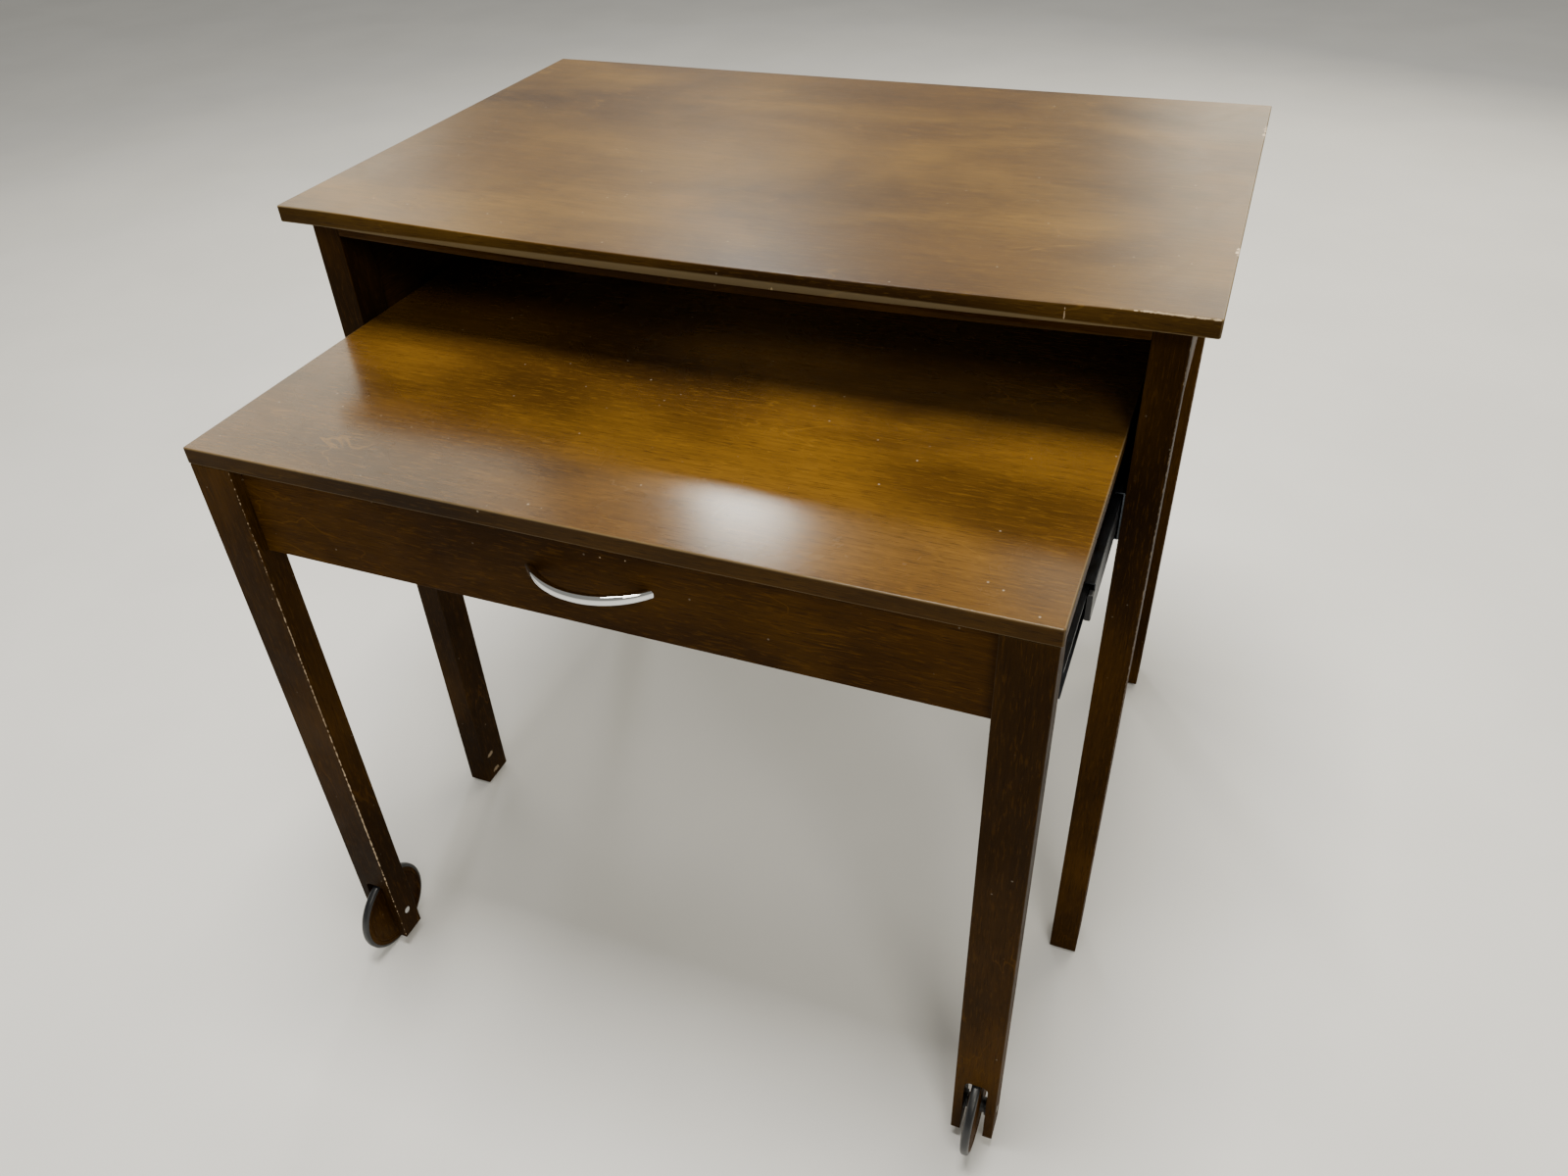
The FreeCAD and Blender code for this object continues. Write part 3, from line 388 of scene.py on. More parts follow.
# Pale colour of chips and scratches, also used to paint highlights along arrises.
PALE_CORE_AND_HIGHLIGHT: Colour = (0.52, 0.4, 0.26, 1.0)
DUST: Colour = (0.42, 0.36, 0.27, 1.0)
GREASE: Colour = (0.03, 0.026, 0.02, 1.0)
RAG_SCALE = 260.0


class Grain(Enum):
    """The axis that a board's grain runs along, with the order that brings it to X."""

    ACROSS = (0, 1, 2)
    BACKWARD = (1, 0, 2)
    UPRIGHT = (2, 0, 1)


@dataclass(frozen=True)
class PaleMark:
    """A chip, scratch or rubbed arris that shows the board's pale core; some of these marks are
    highlights painted along an arris.

    place is its middle and reach its half length along each axis.
    """

    place: Triple
    reach: Triple
    strength: float = 1.0

    def mask(self, tree: Tree, place: Socket) -> Socket:
        """Shape the mark as a ball with a ragged edge.

        Args:
            tree: The material's tree.
            place: Object coordinates.

        Returns:
            How far the pale colour shows, from 0 to the mark's strength.
        """
        rag = tree.noise(place, RAG_SCALE, detail=5.0, roughness=0.6)
        away = tree.vector("SUBTRACT", place, self.place)
        near = tree.vector("LENGTH", tree.vector("DIVIDE", away, self.reach))
        near = tree.maths("ADD", near, tree.ranged(rag, 0.25, 0.75, -0.6, 0.6))
        return tree.maths("MULTIPLY", tree.ranged(near, 0.7, 0.95, 1.0, 0.0), self.strength)


@dataclass(frozen=True)
class StainedWood:
    """Veneered board under a brown stain and satin lacquer.

    wear is how much of the edges is rubbed through, rub how pale the rest of them is, as a
    rubbed finish and a painted highlight, speck_share how much the dust shows, and
    rim_painted_shade how much the side faces are darkened, which is painted shade.
    """

    dark: Colour
    middle: Colour
    light: Colour
    # Pale colour of rubbed-through edges, also laid along the arrises as a painted highlight.
    worn: Colour
    roughness: float = 0.3
    wear: float = 0.2
    wear_and_sheen_width: float = 1.6 * MM
    speck_share: float = 0.5
    # How pale the band along every arris is: painted highlight and rubbed finish.
    rub: float = 0.35
    coat: float = 0.2
    coat_roughness: float = 0.2
    gloss: float = 0.45
    # How much the side faces are darkened: painted shade.
    rim_painted_shade: float = 0.0
    patch_share: float = 0.6
    streak_tones: tuple[float, float] = (0.88, 1.08)
    fleck_share: float = 0.3
    figure_share: float = 0.55
    pore_share: float = 0.65
    bump_strength: float = 0.3
    bump_depth: float = 0.2 * MM

    def colour(self, tree: Tree, wood: dict[str, Socket], edge: dict[str, Socket],
               specks: Socket) -> Socket:
        """Lay the stain, its grain, the painted shade on the side faces, the pale arrises that
        paint a highlight and a rubbed finish, the rubbed-through edges and the dust over each
        other.

        Args:
            tree: The material's tree.
            wood: Outputs of the grain group.
            edge: Outputs of the edge wear and sheen group.
            specks: Where the dust is.

        Returns:
            The colour.
        """
        colour = tree.mix(wood["Clouds"], self.dark, self.middle)
        colour = tree.mix(self.part(tree, wood["Patches"], self.patch_share), colour, self.light)
        colour = tree.tint(colour, tree.ranged(wood["Streaks"], 0.0, 1.0, *self.streak_tones))
        colour = tree.mix(self.part(tree, wood["Flecks"], self.fleck_share), colour, self.light)
        colour = tree.mix(self.part(tree, wood["Figure"], self.figure_share), colour, self.light)
        colour = tree.mix(self.part(tree, wood["Pores"], self.pore_share), colour, self.dark)
        # Painted shade: the side faces are darkened.
        shade = tree.maths("SUBTRACT", 1.0, self.part(tree, edge["Rim"], self.rim_painted_shade))
        colour = tree.tint(colour, shade)
        # Pale band along every arris: painted highlight and rubbed finish.
        colour = tree.mix(self.part(tree, edge["Rubbed"], self.rub), colour, self.worn)
        colour = tree.mix(edge["Worn"], colour, self.worn)
        return tree.mix(self.part(tree, specks, self.speck_share), colour, DUST)

    @staticmethod
    def part(tree: Tree, mask: Socket, share: float) -> Socket:
        """A mask made weaker by a share."""
        return tree.maths("MULTIPLY", mask, share)

    def dulled(self, tree: Tree, smears: Socket, edge: dict[str, Socket]) -> Socket:
        """Make the lacquer uneven, and duller where the edges are rubbed through and on the rims.

        Args:
            tree: The material's tree.
            smears: Where the lacquer is smeared.
            edge: Outputs of the edge wear and sheen group.

        Returns:
            The roughness.
        """
        rough = tree.ranged(smears, 0.0, 1.0, self.roughness - 0.04, self.roughness + 0.06)
        rough = tree.maths("ADD", rough, self.part(tree, edge["Worn"], 0.25))
        return tree.maths("ADD", rough, self.part(tree, edge["Rim"], 0.2))

    def relief(self, tree: Tree, wood: dict[str, Socket], ripple: Socket) -> Socket:
        """Raise the streaks and the ripple and sink the pores.

        Args:
            tree: The material's tree.
            wood: Outputs of the grain group.
            ripple: The lacquer's slow ripple.

        Returns:
            The bent normal.
        """
        height = tree.maths("SUBTRACT", self.part(tree, wood["Streaks"], 0.35), wood["Pores"])
        height = tree.maths("ADD", height, self.part(tree, ripple, 1.5))
        height = tree.maths("ADD", height, wood["Sand"])
        feeds = {"Strength": self.bump_strength, "Distance": self.bump_depth, "Height": height}
        return tree.add("ShaderNodeBump", feeds).outputs[0]

    def build(self, name: str, low: Vector, high: Vector, grain: Grain,
              pale_marks: tuple[PaleMark, ...] = ()) -> bpy.types.Material:
        """Make the finish for one board.

        Args:
            name: The material's name.
            low: Lowest corner of the board.
            high: Highest corner of the board.
            grain: Direction of its grain.
            pale_marks: Its marks of use and its painted highlights.

        Returns:
            The material.
        """
        material, tree, shader, place = new_material(name)
        axes = tree.add("ShaderNodeSeparateXYZ", {0: place}).outputs
        order = {number: axes[axis] for number, axis in enumerate(grain.value)}
        turned = tree.add("ShaderNodeCombineXYZ", order).outputs[0]
        middle = (low + high) / 2
        offset = (middle.x * 3.1, middle.y * 2.3, middle.z * 1.7)
        wood = tree.group(grain_group(), {"Vector": turned, "Offset": offset})
        lacquer = tree.group(lacquer_group(), {"Vector": place})
        edge = tree.group(edge_wear_and_sheen_group(), {
            "Vector": place, "Centre": tuple(middle), "Half Size": tuple((high - low) / 2),
            "Width": self.wear_and_sheen_width, "Amount": self.wear})
        colour = self.colour(tree, wood, edge, lacquer["Specks"])
        # Lay the chips, the scratches and the highlights painted along arrises.
        for pale_mark in pale_marks:
            colour = tree.mix(pale_mark.mask(tree, place), colour, PALE_CORE_AND_HIGHLIGHT)
        feeds = {
            "Base Color": colour,
            "Roughness": self.dulled(tree, lacquer["Smears"], edge),
            "Normal": self.relief(tree, wood, lacquer["Ripple"]),
            "Coat Weight": tree.ranged(edge["Rim"], 0.0, 1.0, self.coat, 0.0),
            "Coat Roughness": self.coat_roughness,
            "Specular IOR Level": self.gloss,
        }
        for socket, value in feeds.items():
            tree.feed(shader.inputs[socket], value)
        return material


@dataclass(frozen=True)
class PlatedSteel:
    """Zinc or chrome plated steel, with fine drawn lines along Y."""

    colour: Colour
    roughness: float
    drawn: float
    grease: float = 0.0
    line_scale: float = 2600.0
    line_stretch: float = 0.02
    film_scale: float = 55.0
    bump_depth: float = 0.02 * MM

    def build(self, name: str) -> bpy.types.Material:
        """Make the finish.

        Args:
            name: The material's name.

        Returns:
            The material.
        """
        material, tree, shader, place = new_material(name)
        along = tree.vector("MULTIPLY", place, (1.0, self.line_stretch, 1.0))
        lines = tree.noise(along, self.line_scale, detail=2.0)
        film = tree.noise(place, self.film_scale, detail=4.0, distortion=0.6)
        film = tree.ranged(film, 0.4, 0.7)
        tone = tree.ranged(lines, 0.3, 0.7, 1.0 - self.drawn, 1.0 + self.drawn * 0.4)
        colour = tree.tint(self.colour, tone)
        colour = tree.mix(tree.maths("MULTIPLY", film, self.grease), colour, GREASE)
        bump = tree.add("ShaderNodeBump", {"Strength": self.drawn * 0.5,
                                           "Distance": self.bump_depth, "Height": lines})
        feeds = {
            "Base Color": colour,
            "Roughness": tree.ranged(lines, 0.2, 0.8, self.roughness, self.roughness * 1.4),
            "Metallic": 1.0,
            "Normal": bump.outputs[0],
        }
        for socket, value in feeds.items():
            tree.feed(shader.inputs[socket], value)
        return material


@dataclass(frozen=True)
class Moulded:
    """Moulded nylon or rubber with a fine grained skin."""

    colour: Colour
    dusty: Colour
    roughness: float
    dust: float = 0.25
    skin_scale: float = 900.0
    dust_scale: float = 70.0
    dust_dulls: float = 0.18
    bump_strength: float = 0.25
    bump_depth: float = 0.05 * MM

    def build(self, name: str) -> bpy.types.Material:
        """Make the finish.

        Args:
            name: The material's name.

        Returns:
            The material.
        """
        material, tree, shader, place = new_material(name)
        skin = tree.noise(place, self.skin_scale, detail=3.0)
        dust = tree.noise(place, self.dust_scale, detail=5.0, distortion=0.3, roughness=0.65)
        dust = tree.ranged(dust, 0.45, 0.72)
        colour = tree.mix(tree.maths("MULTIPLY", dust, self.dust), self.colour, self.dusty)
        dull = self.roughness + self.dust_dulls
        bump = tree.add("ShaderNodeBump", {"Strength": self.bump_strength,
                                           "Distance": self.bump_depth, "Height": skin})
        feeds = {
            "Base Color": colour,
            "Roughness": tree.ranged(dust, 0.0, 1.0, self.roughness, dull),
            "Normal": bump.outputs[0],
        }
        for socket, value in feeds.items():
            tree.feed(shader.inputs[socket], value)
        return material


# Both tops darken their side faces as painted shade, and pale their arrises as a painted highlight
# and a rubbed finish.
UPPER_STAIN = StainedWood(
    dark=(0.036, 0.016, 0.003, 1), middle=(0.08, 0.039, 0.006, 1), light=(0.17, 0.09, 0.012, 1),
    worn=(0.42, 0.34, 0.19, 1), wear=0.1, roughness=0.38, rub=0.3, rim_painted_shade=0.35, coat=0.7,
    coat_roughness=0.32, gloss=0.05)
LOWER_STAIN = StainedWood(
    dark=(0.03, 0.013, 0.002, 1), middle=(0.078, 0.035, 0.005, 1), light=(0.165, 0.08, 0.01, 1),
    worn=(0.42, 0.33, 0.18, 1), wear=0.08, roughness=0.26, rub=0.22, rim_painted_shade=0.5, coat=0.66,
    coat_roughness=0.18, gloss=0.05)
FRAME_STAIN = StainedWood(
    dark=(0.018, 0.007, 0.0007, 1), middle=(0.047, 0.019, 0.0015, 1),
    light=(0.115, 0.05, 0.0035, 1), worn=(0.4, 0.31, 0.19, 1), wear=0.1, wear_and_sheen_width=0.9 * MM,
    rub=0.05, coat=0.0, gloss=0.025, speck_share=0.25)
# The legs take the frame stain about a third darker: painted shade.
SHADED_LEG_STAIN = replace(
    FRAME_STAIN, dark=(0.012, 0.005, 0.0005, 1), middle=(0.031, 0.013, 0.001, 1),
    light=(0.08, 0.034, 0.0025, 1))
STRETCHER_STAIN = replace(FRAME_STAIN, wear=0.0)
WHEEL_STAIN = replace(FRAME_STAIN, wear=0.0, rub=0.0, speck_share=0.1)
BARE_BEECH = StainedWood(
    dark=(0.42, 0.27, 0.14, 1), middle=(0.52, 0.36, 0.2, 1), light=(0.62, 0.46, 0.28, 1),
    worn=(0.66, 0.52, 0.36, 1), roughness=0.55)
CHROME = PlatedSteel(colour=(0.7, 0.71, 0.71, 1), roughness=0.045, drawn=0.02)
# Zinc darkened almost to black: painted shade over the slides.
SHADED_ZINC = PlatedSteel(colour=(0.075, 0.085, 0.1, 1), roughness=0.3, drawn=0.25, grease=0.5)
BRIGHT = PlatedSteel(colour=(0.62, 0.62, 0.6, 1), roughness=0.22, drawn=0.1)
BLACK_NYLON = Moulded(
    colour=(0.012, 0.012, 0.013, 1), dusty=(0.06, 0.058, 0.052, 1), roughness=0.45)
RUBBER = Moulded(
    colour=(0.007, 0.008, 0.01, 1), dusty=(0.05, 0.048, 0.042, 1), roughness=0.34, dust=0.15)


# --------------------------------------------------------------------------- mesh helpers

WELD = 1e-6
CUT_TOLERANCE = 1e-7
EDGE_MARGIN = 2.6 * MM


def finish_piece(bm: bmesh.types.BMesh, name: str, material: bpy.types.Material, body: str,
                 replaces: tuple[str, ...], smooth: float) -> bpy.types.Object:
    """Turn a bmesh into a piece of the object.

    Args:
        bm: The finished shape, in the row frame.
        name: The piece's name.
        material: Its finish.
        body: The CAD body that it rides on.
        replaces: The CAD nodes that it stands for.
        smooth: Faces that meet under this angle in degrees shade as one.

    Returns:
        The new object.
    """
    bmesh.ops.remove_doubles(bm, verts=bm.verts, dist=WELD)
    bmesh.ops.recalc_face_normals(bm, faces=bm.faces)
    mesh = bpy.data.meshes.new(name)
    bm.to_mesh(mesh)
    bm.free()
    mesh.materials.append(material)
    mesh.shade_smooth()
    mesh.set_sharp_from_angle(angle=math.radians(smooth))
    piece = bpy.data.objects.new(name, mesh)
    bpy.context.scene.collection.objects.link(piece)
    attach(piece, body)
    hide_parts(*replaces)
    log.info("%s rides on %s and stands for %s", name, body, ", ".join(replaces))
    return piece


def dress(node: str, material: bpy.types.Material) -> None:
    """Give a CAD node that stays as it is its finish.

    Args:
        node: The node's name.
        material: Its finish.
    """
    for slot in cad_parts[node].material_slots:
        slot.material = material
    log.info("%s keeps its shape and gets %s", node, material.name)


def new_block(low: Vector, high: Vector) -> bmesh.types.BMesh:
    """Make a block between two corners.

    Args:
        low: Its lowest corner.
        high: Its highest corner.

    Returns:
        The block.
    """
    bm = bmesh.new()
    bmesh.ops.create_cube(bm, size=1.0)
    bmesh.ops.scale(bm, vec=high - low, verts=bm.verts)
    bmesh.ops.translate(bm, vec=(low + high) / 2, verts=bm.verts)
    return bm


def bevel(bm: bmesh.types.BMesh, edges: list[bmesh.types.BMEdge], offset: float,
          segments: int) -> None:
    """Round some edges of a mesh by an offset, in segments."""
    bmesh.ops.bevel(bm, geom=edges, offset=offset, offset_type="OFFSET", segments=segments,
                    profile=0.5, affect="EDGES", material=-1)


def cut_across(bm: bmesh.types.BMesh, axis: int, low: float, high: float, count: int) -> None:
    """Cut a board through with evenly spaced planes, so that it can bend.

    Args:
        bm: The board.
        axis: The number of the axis that the planes stand across.
        low: Where the board starts along it.
        high: Where the board ends along it.
        count: How many planes there are. The first and last stand inside its rounded edges.
    """
    normal = Vector((0.0, 0.0, 0.0))
    normal[axis] = 1.0
    low, high = low + EDGE_MARGIN, high - EDGE_MARGIN
    for number in range(count):
        place = low + (high - low) * number / (count - 1)
        geometry = bm.verts[:] + bm.edges[:] + bm.faces[:]
        bmesh.ops.bisect_plane(bm, geom=geometry, plane_co=normal * place, plane_no=normal,
                               dist=CUT_TOLERANCE)


def rise(edge: bmesh.types.BMEdge) -> float:
    """How far an edge climbs."""
    return abs(edge.verts[0].co.z - edge.verts[1].co.z)


# --------------------------------------------------------------------------- sub-assemblies

@dataclass
class UpperTop:
    """The upper top and the stretcher under its front, which have sagged a little with age."""

    front_sag: float = 6.2 * MM
    back_sag: float = 0.8 * MM
    corner: float = 2.0 * MM
    arris: float = 1.2 * MM
    stretcher_arris: float = 1.0 * MM
    cuts_along: int = 40
    cuts_back: int = 8
    smooth: float = 50.0

    def pale_marks(self, low: Vector, high: Vector) -> tuple[PaleMark, ...]:
        """Place the top's marks of use and its painted highlight.

        Args:
            low: Lowest corner of the board.
            high: Highest corner of the board.

        Returns:
            Three chips in the right edge, then a scratch in front and a painted highlight along the
            front arris.
        """
        return (
            PaleMark((high.x, low.y + 438 * MM, high.z - 2 * MM), (3.2 * MM, 9 * MM, 5 * MM)),
            PaleMark((high.x, low.y + 420 * MM, high.z), (2.4 * MM, 6 * MM, 2 * MM)),
            PaleMark((high.x, low.y + 124 * MM, high.z - 1 * MM), (2.6 * MM, 9 * MM, 3.5 * MM)),
            PaleMark((high.x - 109 * MM, low.y, high.z - 10 * MM), (0.5 * MM, 1 * MM, 4 * MM), 0.7),
            # Pale line along the front top arris near the right end: painted highlight.
            PaleMark((high.x - 30 * MM, low.y, high.z - 0.4 * MM), (40 * MM, 1.2 * MM, 0.9 * MM), 0.6),
        )

    def let_hang(self, bm: bmesh.types.BMesh) -> None:
        """Lower each point of the top or stretcher by its sag, most in the middle of the front.

        Args:
            bm: The cut board.
        """
        low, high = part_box("upper_top")
        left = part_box("fixed_leg_front_left")[1].x
        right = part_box("fixed_leg_front_right")[0].x
        for vert in bm.verts:
            along = min(max((vert.co.x - left) / (right - left), 0.0), 1.0)
            back = (vert.co.y - low.y) / (high.y - low.y)
            depth = self.front_sag + (self.back_sag - self.front_sag) * back
            vert.co.z -= depth * 4 * along * (1 - along)

    def build_top(self) -> None:
        """Build the top board with rounded corners and eased edges."""
        low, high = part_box("upper_top")
        bm = new_block(low, high)
        bevel(bm, [edge for edge in bm.edges if rise(edge) > MM], self.corner, 5)
        bevel(bm, [edge for edge in bm.edges if rise(edge) < 0.01 * MM], self.arris, 3)
        cut_across(bm, 0, low.x, high.x, self.cuts_along)
        cut_across(bm, 1, low.y, high.y, self.cuts_back)
        self.let_hang(bm)
        pale_marks = self.pale_marks(low, high)
        material = UPPER_STAIN.build("upper_top_stain", low, high, Grain.ACROSS, pale_marks)
        finish_piece(bm, "upper_top_board", material, "fixed_desk",
                     ("upper_top",), self.smooth)

    def build_stretcher(self) -> None:
        """Build the flat stretcher between the front legs, bent with the top."""
        low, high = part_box("front_stretcher")
        bm = new_block(low, high)
        bevel(bm, bm.edges[:], self.stretcher_arris, 2)
        cut_across(bm, 0, low.x, high.x, self.cuts_along)
        self.let_hang(bm)
        material = STRETCHER_STAIN.build("stretcher_stain", low, high, Grain.ACROSS)
        finish_piece(bm, "front_stretcher_board", material, "fixed_desk",
                     ("front_stretcher",), self.smooth)

    def build(self) -> None:
        """Build both boards."""
        self.build_top()
        self.build_stretcher()


@dataclass
class StraightBoards:
    """The boards and legs that keep their CAD shape."""

    grains: dict[Grain, tuple[str, ...]] = field(default_factory=lambda: {
        Grain.UPRIGHT: ("fixed_leg_front_left", "fixed_leg_front_right", "fixed_leg_rear_left",
                        "fixed_leg_rear_right", "lower_leg_left", "lower_leg_right"),
        Grain.BACKWARD: ("side_panel_left", "side_panel_right", "slide_batten_left",
                         "slide_batten_right", "side_rail_left", "side_rail_right"),
        Grain.ACROSS: ("back_panel", "rear_rail", "fascia"),
    })
    nail_hole: Triple = (0.7 * MM, 0.7 * MM, 0.7 * MM)
    scuff: Triple = (1 * MM, 6 * MM, 3 * MM)
    # A thin pale line along a leg's front arris: painted highlight.
    arris_highlight: Triple = (0.5 * MM, 0.5 * MM, 0.36)
    wide_rub: Triple = (0.7 * MM, 0.7 * MM, 0.36)
    low_rub: Triple = (0.9 * MM, 0.9 * MM, 0.14)

    def pale_marks(self, node: str, low: Vector, high: Vector) -> tuple[PaleMark, ...]:
        """Place the marks of use and the painted highlights on one board.

        Args:
            node: The board's name.
            low: Its lowest corner.
            high: Its highest corner.

        Returns:
            Its rubbed arrises, scuffs, nail holes and painted highlights along arrises.
        """
        middle = (low.z + high.z) / 2
        marks = {
            "lower_leg_left": (
                PaleMark((high.x, low.y, low.z + 0.19), self.low_rub, 0.9),
                PaleMark((high.x, low.y, middle), self.wide_rub, 0.75)),
            # Painted highlights along the front right arris of both right legs.
            "fixed_leg_front_right": (
                PaleMark((high.x, low.y, middle + 0.1), self.arris_highlight, 0.35),),
            "fixed_leg_rear_right": (
                PaleMark((high.x, low.y, middle), self.arris_highlight, 0.3),),
            "fixed_leg_front_left": (
                PaleMark((high.x, low.y + 14 * MM, 43 * MM), self.scuff, 0.5),
                PaleMark((high.x, low.y + 18 * MM, 12 * MM), self.scuff, 0.5)),
            "fascia": (
                PaleMark((17 * MM, low.y, low.z + 70 * MM), self.nail_hole),
                PaleMark((38 * MM, low.y, low.z + 72 * MM), self.nail_hole)),
        }
        return marks.get(node, ())

    def build(self) -> None:
        """Dress each board in a stain of its own."""
        low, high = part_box("lower_top")
        dress("lower_top", LOWER_STAIN.build("lower_top_stain", low, high, Grain.ACROSS))
        for grain, nodes in self.grains.items():
            # Legs get the darker copy of the frame stain: painted shade.
            stain = SHADED_LEG_STAIN if grain is Grain.UPRIGHT else FRAME_STAIN
            for node in nodes:
                low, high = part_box(node)
                pale_marks = self.pale_marks(node, low, high)
                dress(node, stain.build(f"{node}_stain", low, high, grain, pale_marks))


@dataclass
class BowHandle:
    """A flattened bar bent to one arc, with its feet flat against the fascia."""

    span: float = 100 * MM
    thick: float = 7 * MM
    overrun: float = math.radians(14)
    round_points: int = 28
    steps: int = 72
    flatness: float = 0.72
    smooth: float = 60.0

    def new_section(self, tall: float) -> bmesh.types.BMesh:
        """Draw the bar's section, a ring between an oval and a box.

        Args:
            tall: How tall it is.

        Returns:
            The ring, across the bar's run.
        """
        bm = bmesh.new()
        power = 2 / self.flatness
        ring = bmesh.ops.create_circle(bm, segments=self.round_points, radius=1.0)["verts"]
        for vert in ring:
            x, y = vert.co.x, vert.co.y
            size = (abs(x) ** power + abs(y) ** power) ** (1 / power)
            vert.co = Vector((0.0, x / size * self.thick / 2, y / size * tall / 2))
        return bm

    def build(self) -> None:
        """Spin the section round the middle of the bar's arc and cut the feet flat."""
        low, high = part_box("handle")
        reach = high.y - low.y - self.thick / 2
        radius = (self.span ** 2 / 4 + reach ** 2) / (2 * reach)
        middle = Vector(((low.x + high.x) / 2, high.y + radius - reach, (low.z + high.z) / 2))
        sweep = 2 * math.asin(self.span / 2 / radius) + self.overrun
        bm = self.new_section(high.z - low.z)
        bmesh.ops.translate(bm, vec=Vector((0, -radius, 0)), verts=bm.verts)
        bmesh.ops.rotate(bm, matrix=Matrix.Rotation(-sweep / 2, 3, "Z"), verts=bm.verts)
        bmesh.ops.translate(bm, vec=middle, verts=bm.verts)
        bmesh.ops.spin(bm, geom=bm.verts[:] + bm.edges[:], cent=middle, axis=(0, 0, 1),
                       angle=sweep, steps=self.steps, use_duplicate=False)
        cut = bmesh.ops.bisect_plane(bm, geom=bm.verts[:] + bm.edges[:] + bm.faces[:],
                                     plane_co=(0, high.y, 0), plane_no=(0, 1, 0), clear_outer=True)
        rim = [part for part in cut["geom_cut"] if isinstance(part, bmesh.types.BMEdge)]
        bmesh.ops.holes_fill(bm, edges=rim)
        finish_piece(bm, "bow_handle", CHROME.build("handle_chrome"), "front_desk",
                     ("handle",), self.smooth)


@dataclass
class Wheel:
    """One wheel: a turned wooden disc, a rubber tread and a hub bush."""

    side: str
    steps: int = 96
    tread_crown: float = 1.1 * MM
    groove: float = 0.8 * MM
    boss: float = 0.3
    dish: float = 0.32
    dish_rim: float = 8.4 * MM
    bead_inner: float = 7.8 * MM
    bead_outer: float = 6.2 * MM
    groove_inner: float = 5.6 * MM
    groove_outer: float = 4.6 * MM
    land: float = 4.0 * MM
    arris: float = 0.9 * MM
    disc_smooth: float = 25.0
    tread_smooth: float = 40.0

    def spin(self, outline: list[tuple[float, float]], middle: Vector) -> bmesh.types.BMesh:
        """Spin an outline and its mirror image round the axle.

        Args:
            outline: One side as (along the axle, out from it) from the wheel's middle.
            middle: The wheel's middle.

        Returns:
            The turned shape.
        """
        bm = bmesh.new()
        points = outline + [(-x, r) for x, r in reversed(outline)]
        verts = [bm.verts.new(middle + Vector((x, 0.0, r))) for x, r in points]
        edges = [bm.edges.new((a, b)) for a, b in zip(verts, verts[1:] + verts[:1])]
        bmesh.ops.spin(bm, geom=verts + edges, cent=middle, axis=(1, 0, 0), angle=math.tau,
                       steps=self.steps, use_merge=True, use_duplicate=False)
        return bm

    def build_disc(self, middle: Vector) -> float:
        """Turn the wooden disc, with a dished face, a bead and a groove.

        Args:
            middle: The wheel's middle.

        Returns:
            The disc's radius.
        """
        node = f"wheel_disc_{self.side}"
        low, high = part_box(node)
        bush_low, bush_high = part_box(f"hub_bush_{self.side}")
        half = (high.x - low.x) / 2
        radius = (high.z - low.z) / 2
        dished, grooved = half - self.groove / 2, half - self.groove
        face = [
            (half, (bush_high.z - bush_low.z) / 2), (half, radius * self.boss),
            (dished, radius * self.dish), (dished, radius - self.dish_rim),
            (half, radius - self.bead_inner), (half, radius - self.bead_outer),
            (grooved, radius - self.groove_inner), (grooved, radius - self.groove_outer),
            (half, radius - self.land), (half, radius - self.arris), (half - self.arris, radius),
        ]
        stain = WHEEL_STAIN.build(f"wheel_{self.side}_stain", low, high, Grain.UPRIGHT)
        finish_piece(self.spin(face, middle), f"wheel_disc_turned_{self.side}", stain,
                     f"wheel_{self.side}", (node,), self.disc_smooth)
        return radius

    def build_tread(self, middle: Vector, inner: float) -> None:
        """Turn the rubber tread, rounded outside.

        Args:
            middle: The wheel's middle.
            inner: The disc's radius.
        """
        node = f"tyre_{self.side}"
        low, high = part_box(node)
        half = (high.x - low.x) / 2
        radius = (high.z - low.z) / 2
        crown = self.tread_crown
        outline = [(half, inner), (half, radius - 2 * crown), (half - 0.5 * crown, radius - crown),
                   (half - 1.2 * crown, radius - 0.35 * crown), (half - 2 * crown, radius)]
        rubber = RUBBER.build(f"tread_{self.side}_rubber")
        finish_piece(self.spin(outline, middle), f"tread_{self.side}", rubber,
                     f"wheel_{self.side}", (node,), self.tread_smooth)

    def build(self) -> None:
        """Make the disc and tread, and dress the bush."""
        low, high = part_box(f"tyre_{self.side}")
        middle = (low + high) / 2
        inner = self.build_disc(middle)
        self.build_tread(middle, inner)
        dress(f"hub_bush_{self.side}", BLACK_NYLON.build(f"hub_{self.side}_nylon"))


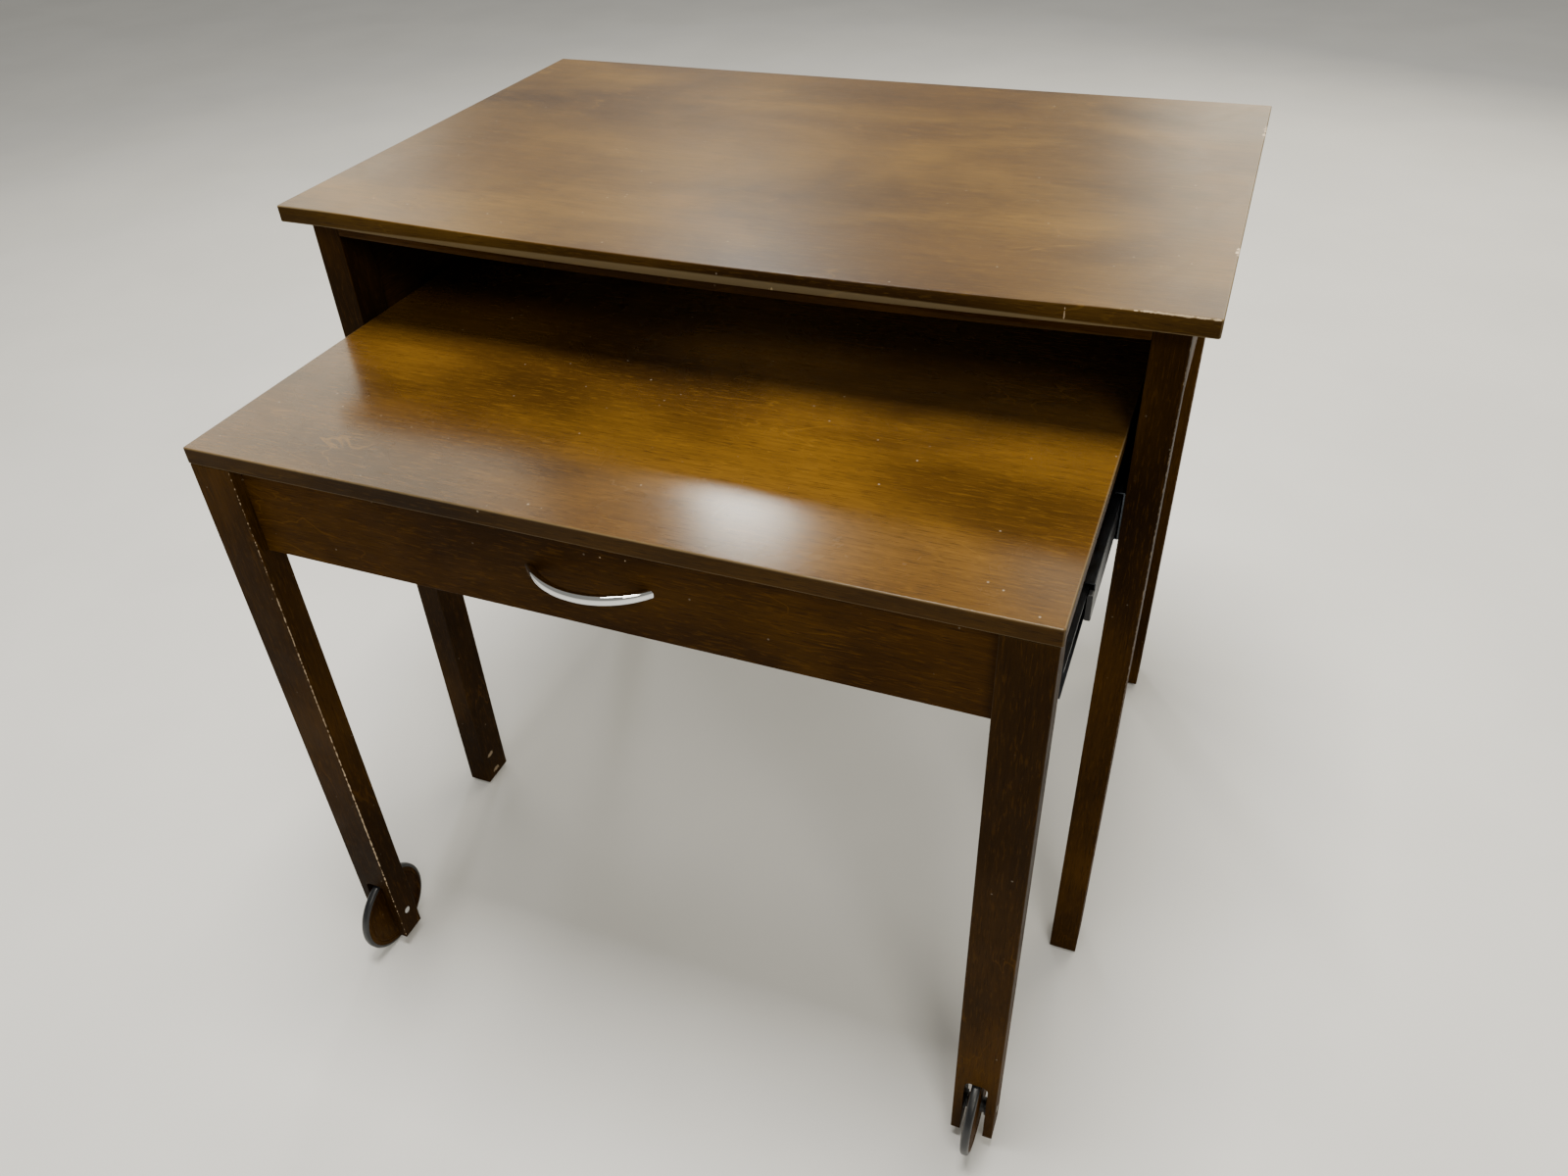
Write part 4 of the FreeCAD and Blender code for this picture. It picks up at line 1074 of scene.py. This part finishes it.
@dataclass
class SmallParts:
    """Slides, fasteners and other small pieces that keep their CAD shape."""

    zinc: tuple[str, ...] = ("slide_cabinet", "slide_middle", "slide_drawer")
    nylon: tuple[str, ...] = ("slide_bumper", "outer_cage", "inner_cage")
    bright: tuple[str, ...] = ("outer_balls", "inner_balls", "axle_pin")
    screws: tuple[str, ...] = ("cabinet_screws", "drawer_screws", "handle_screws",
                               "upper_block_screws", "lower_block_screws")
    nylon_sets: tuple[str, ...] = ("leg_glides", "axle_washers")
    beech_sets: tuple[str, ...] = ("upper_blocks", "lower_blocks", "frame_dowels", "pull_dowels")

    def build(self) -> None:
        """Dress the small pieces by what they are made of."""
        kinds = (
            # The slides get zinc darkened almost to black: painted shade.
            (SHADED_ZINC.build("slide_zinc_painted_shade"), self.zinc, ()),
            (BRIGHT.build("bright_zinc"), self.bright, self.screws),
            (BLACK_NYLON.build("moulded_nylon"), self.nylon, self.nylon_sets),
        )
        for material, paired, single in kinds:
            for node in [f"{name}_{side}" for name in paired for side in SIDES] + list(single):
                dress(node, material)
        for node in self.beech_sets:
            low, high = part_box(node)
            dress(node, BARE_BEECH.build(f"{node}_beech", low, high, Grain.ACROSS))


# --------------------------------------------------------------------------- stage

@dataclass(frozen=True)
class SoftLight:
    """A square of soft light that faces a point.

    heading is in degrees from the desk's rear, turning towards its right, and height in degrees
    above the floor.
    """

    name: str
    heading: float
    height: float
    distance: float
    size: float
    power: float
    colour: Triple

    def build(self, target: Vector) -> None:
        """Hang the light.

        Args:
            target: The point that it faces.
        """
        heading, height = math.radians(self.heading), math.radians(self.height)
        flat = math.cos(height)
        away = Vector((math.sin(heading) * flat, math.cos(heading) * flat, math.sin(height)))
        lamp = bpy.data.lights.new(self.name, "AREA")
        lamp.shape = "SQUARE"
        lamp.size = self.size
        lamp.energy = self.power
        lamp.color = self.colour
        holder = bpy.data.objects.new(self.name, lamp)
        holder.location = target + away * self.distance
        holder.rotation_euler = away.to_track_quat("Z", "Y").to_euler()
        bpy.context.scene.collection.objects.link(holder)


LIGHTS = (
    SoftLight("key", 146.8, 41.0, distance=3.2, size=0.8, power=34.0, colour=(1.0, 0.95, 0.82)),
    SoftLight("overhead", 180.0, 86.0, distance=2.6, size=1.1, power=138.0,
              colour=(1.0, 0.96, 0.88)),
    SoftLight("rear", -25.5, 35.5, distance=3.4, size=0.3, power=15.0, colour=(1.0, 0.98, 0.9)),
    SoftLight("wall", 22.0, 24.0, distance=3.2, size=2.4, power=52.0, colour=(1.0, 0.92, 0.74)),
    SoftLight("left_wall", -57.0, 26.0, distance=3.2, size=1.5, power=18.0,
              colour=(1.0, 0.93, 0.76)),
)


@dataclass
class Studio:
    """Pale floor, soft lights and the camera."""

    floor_size: float = 14.0
    floor_colour: Colour = (0.74, 0.74, 0.73, 1.0)
    floor_roughness: float = 0.9
    floor_cloud_scale: float = 3.0
    floor_tones: tuple[float, float] = (0.97, 1.02)
    lens: float = 27.04
    sensor: float = 36.0
    heading: float = 23.0
    pitch: float = -37.9
    roll: float = -2.68
    from_corner: Triple = (0.8228, -0.8067, 1.126)
    lit_height: float = 0.85
    room_colour: Colour = (0.9, 0.88, 0.81, 1.0)
    room_strength: float = 0.34

    def build_floor(self) -> None:
        """Lay a wide pale floor under the desk."""
        bm = bmesh.new()
        bmesh.ops.create_grid(bm, x_segments=2, y_segments=2, size=self.floor_size / 2)
        mesh = bpy.data.meshes.new("floor")
        bm.to_mesh(mesh)
        bm.free()
        material, tree, shader, place = new_material("floor_paper")
        cloud = tree.noise(place, self.floor_cloud_scale, detail=4.0)
        tone = tree.ranged(cloud, 0.3, 0.7, *self.floor_tones)
        tree.feed(shader.inputs["Base Color"], tree.tint(self.floor_colour, tone))
        tree.feed(shader.inputs["Roughness"], self.floor_roughness)
        mesh.materials.append(material)
        floor = bpy.data.objects.new("floor", mesh)
        bpy.context.scene.collection.objects.link(floor)
        floor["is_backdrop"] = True

    def build_camera(self) -> None:
        """Set up the camera, placed from under the upper top's left front corner."""
        data = bpy.data.cameras.new("camera")
        data.lens = self.lens
        data.sensor_width = self.sensor
        camera = bpy.data.objects.new("camera", data)
        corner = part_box("upper_top")[0]
        camera.location = Vector((corner.x, corner.y, 0.0)) + Vector(self.from_corner)
        tilt, heading = math.radians(90 + self.pitch), math.radians(self.heading)
        roll = Quaternion((0.0, 0.0, 1.0), math.radians(self.roll))
        turn = Euler((tilt, 0.0, heading)).to_quaternion()
        camera.rotation_euler = (turn @ roll).to_euler()
        bpy.context.scene.collection.objects.link(camera)
        bpy.context.scene.camera = camera

    def build_lights(self) -> None:
        """Hang the lights round the desk and light the room faintly."""
        low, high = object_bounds()
        target = (Vector(low) + Vector(high)) / 2
        target.z = high[2] * self.lit_height
        for light in LIGHTS:
            light.build(target)
        world = bpy.data.worlds.new("pale_room")
        world.use_nodes = True
        background = world.node_tree.nodes["Background"]
        background.inputs["Color"].default_value = self.room_colour
        background.inputs["Strength"].default_value = self.room_strength
        bpy.context.scene.world = world

    def build(self) -> None:
        """Set up the whole stage."""
        self.build_floor()
        self.build_camera()
        self.build_lights()


def main() -> None:
    """Build every sub-assembly and the stage."""
    logging.basicConfig(level=logging.INFO, format="%(name)s: %(message)s")
    Studio().build()
    UpperTop().build()
    StraightBoards().build()
    BowHandle().build()
    for side in SIDES:
        Wheel(side).build()
    SmallParts().build()


if __name__ == "__main__":
    main()
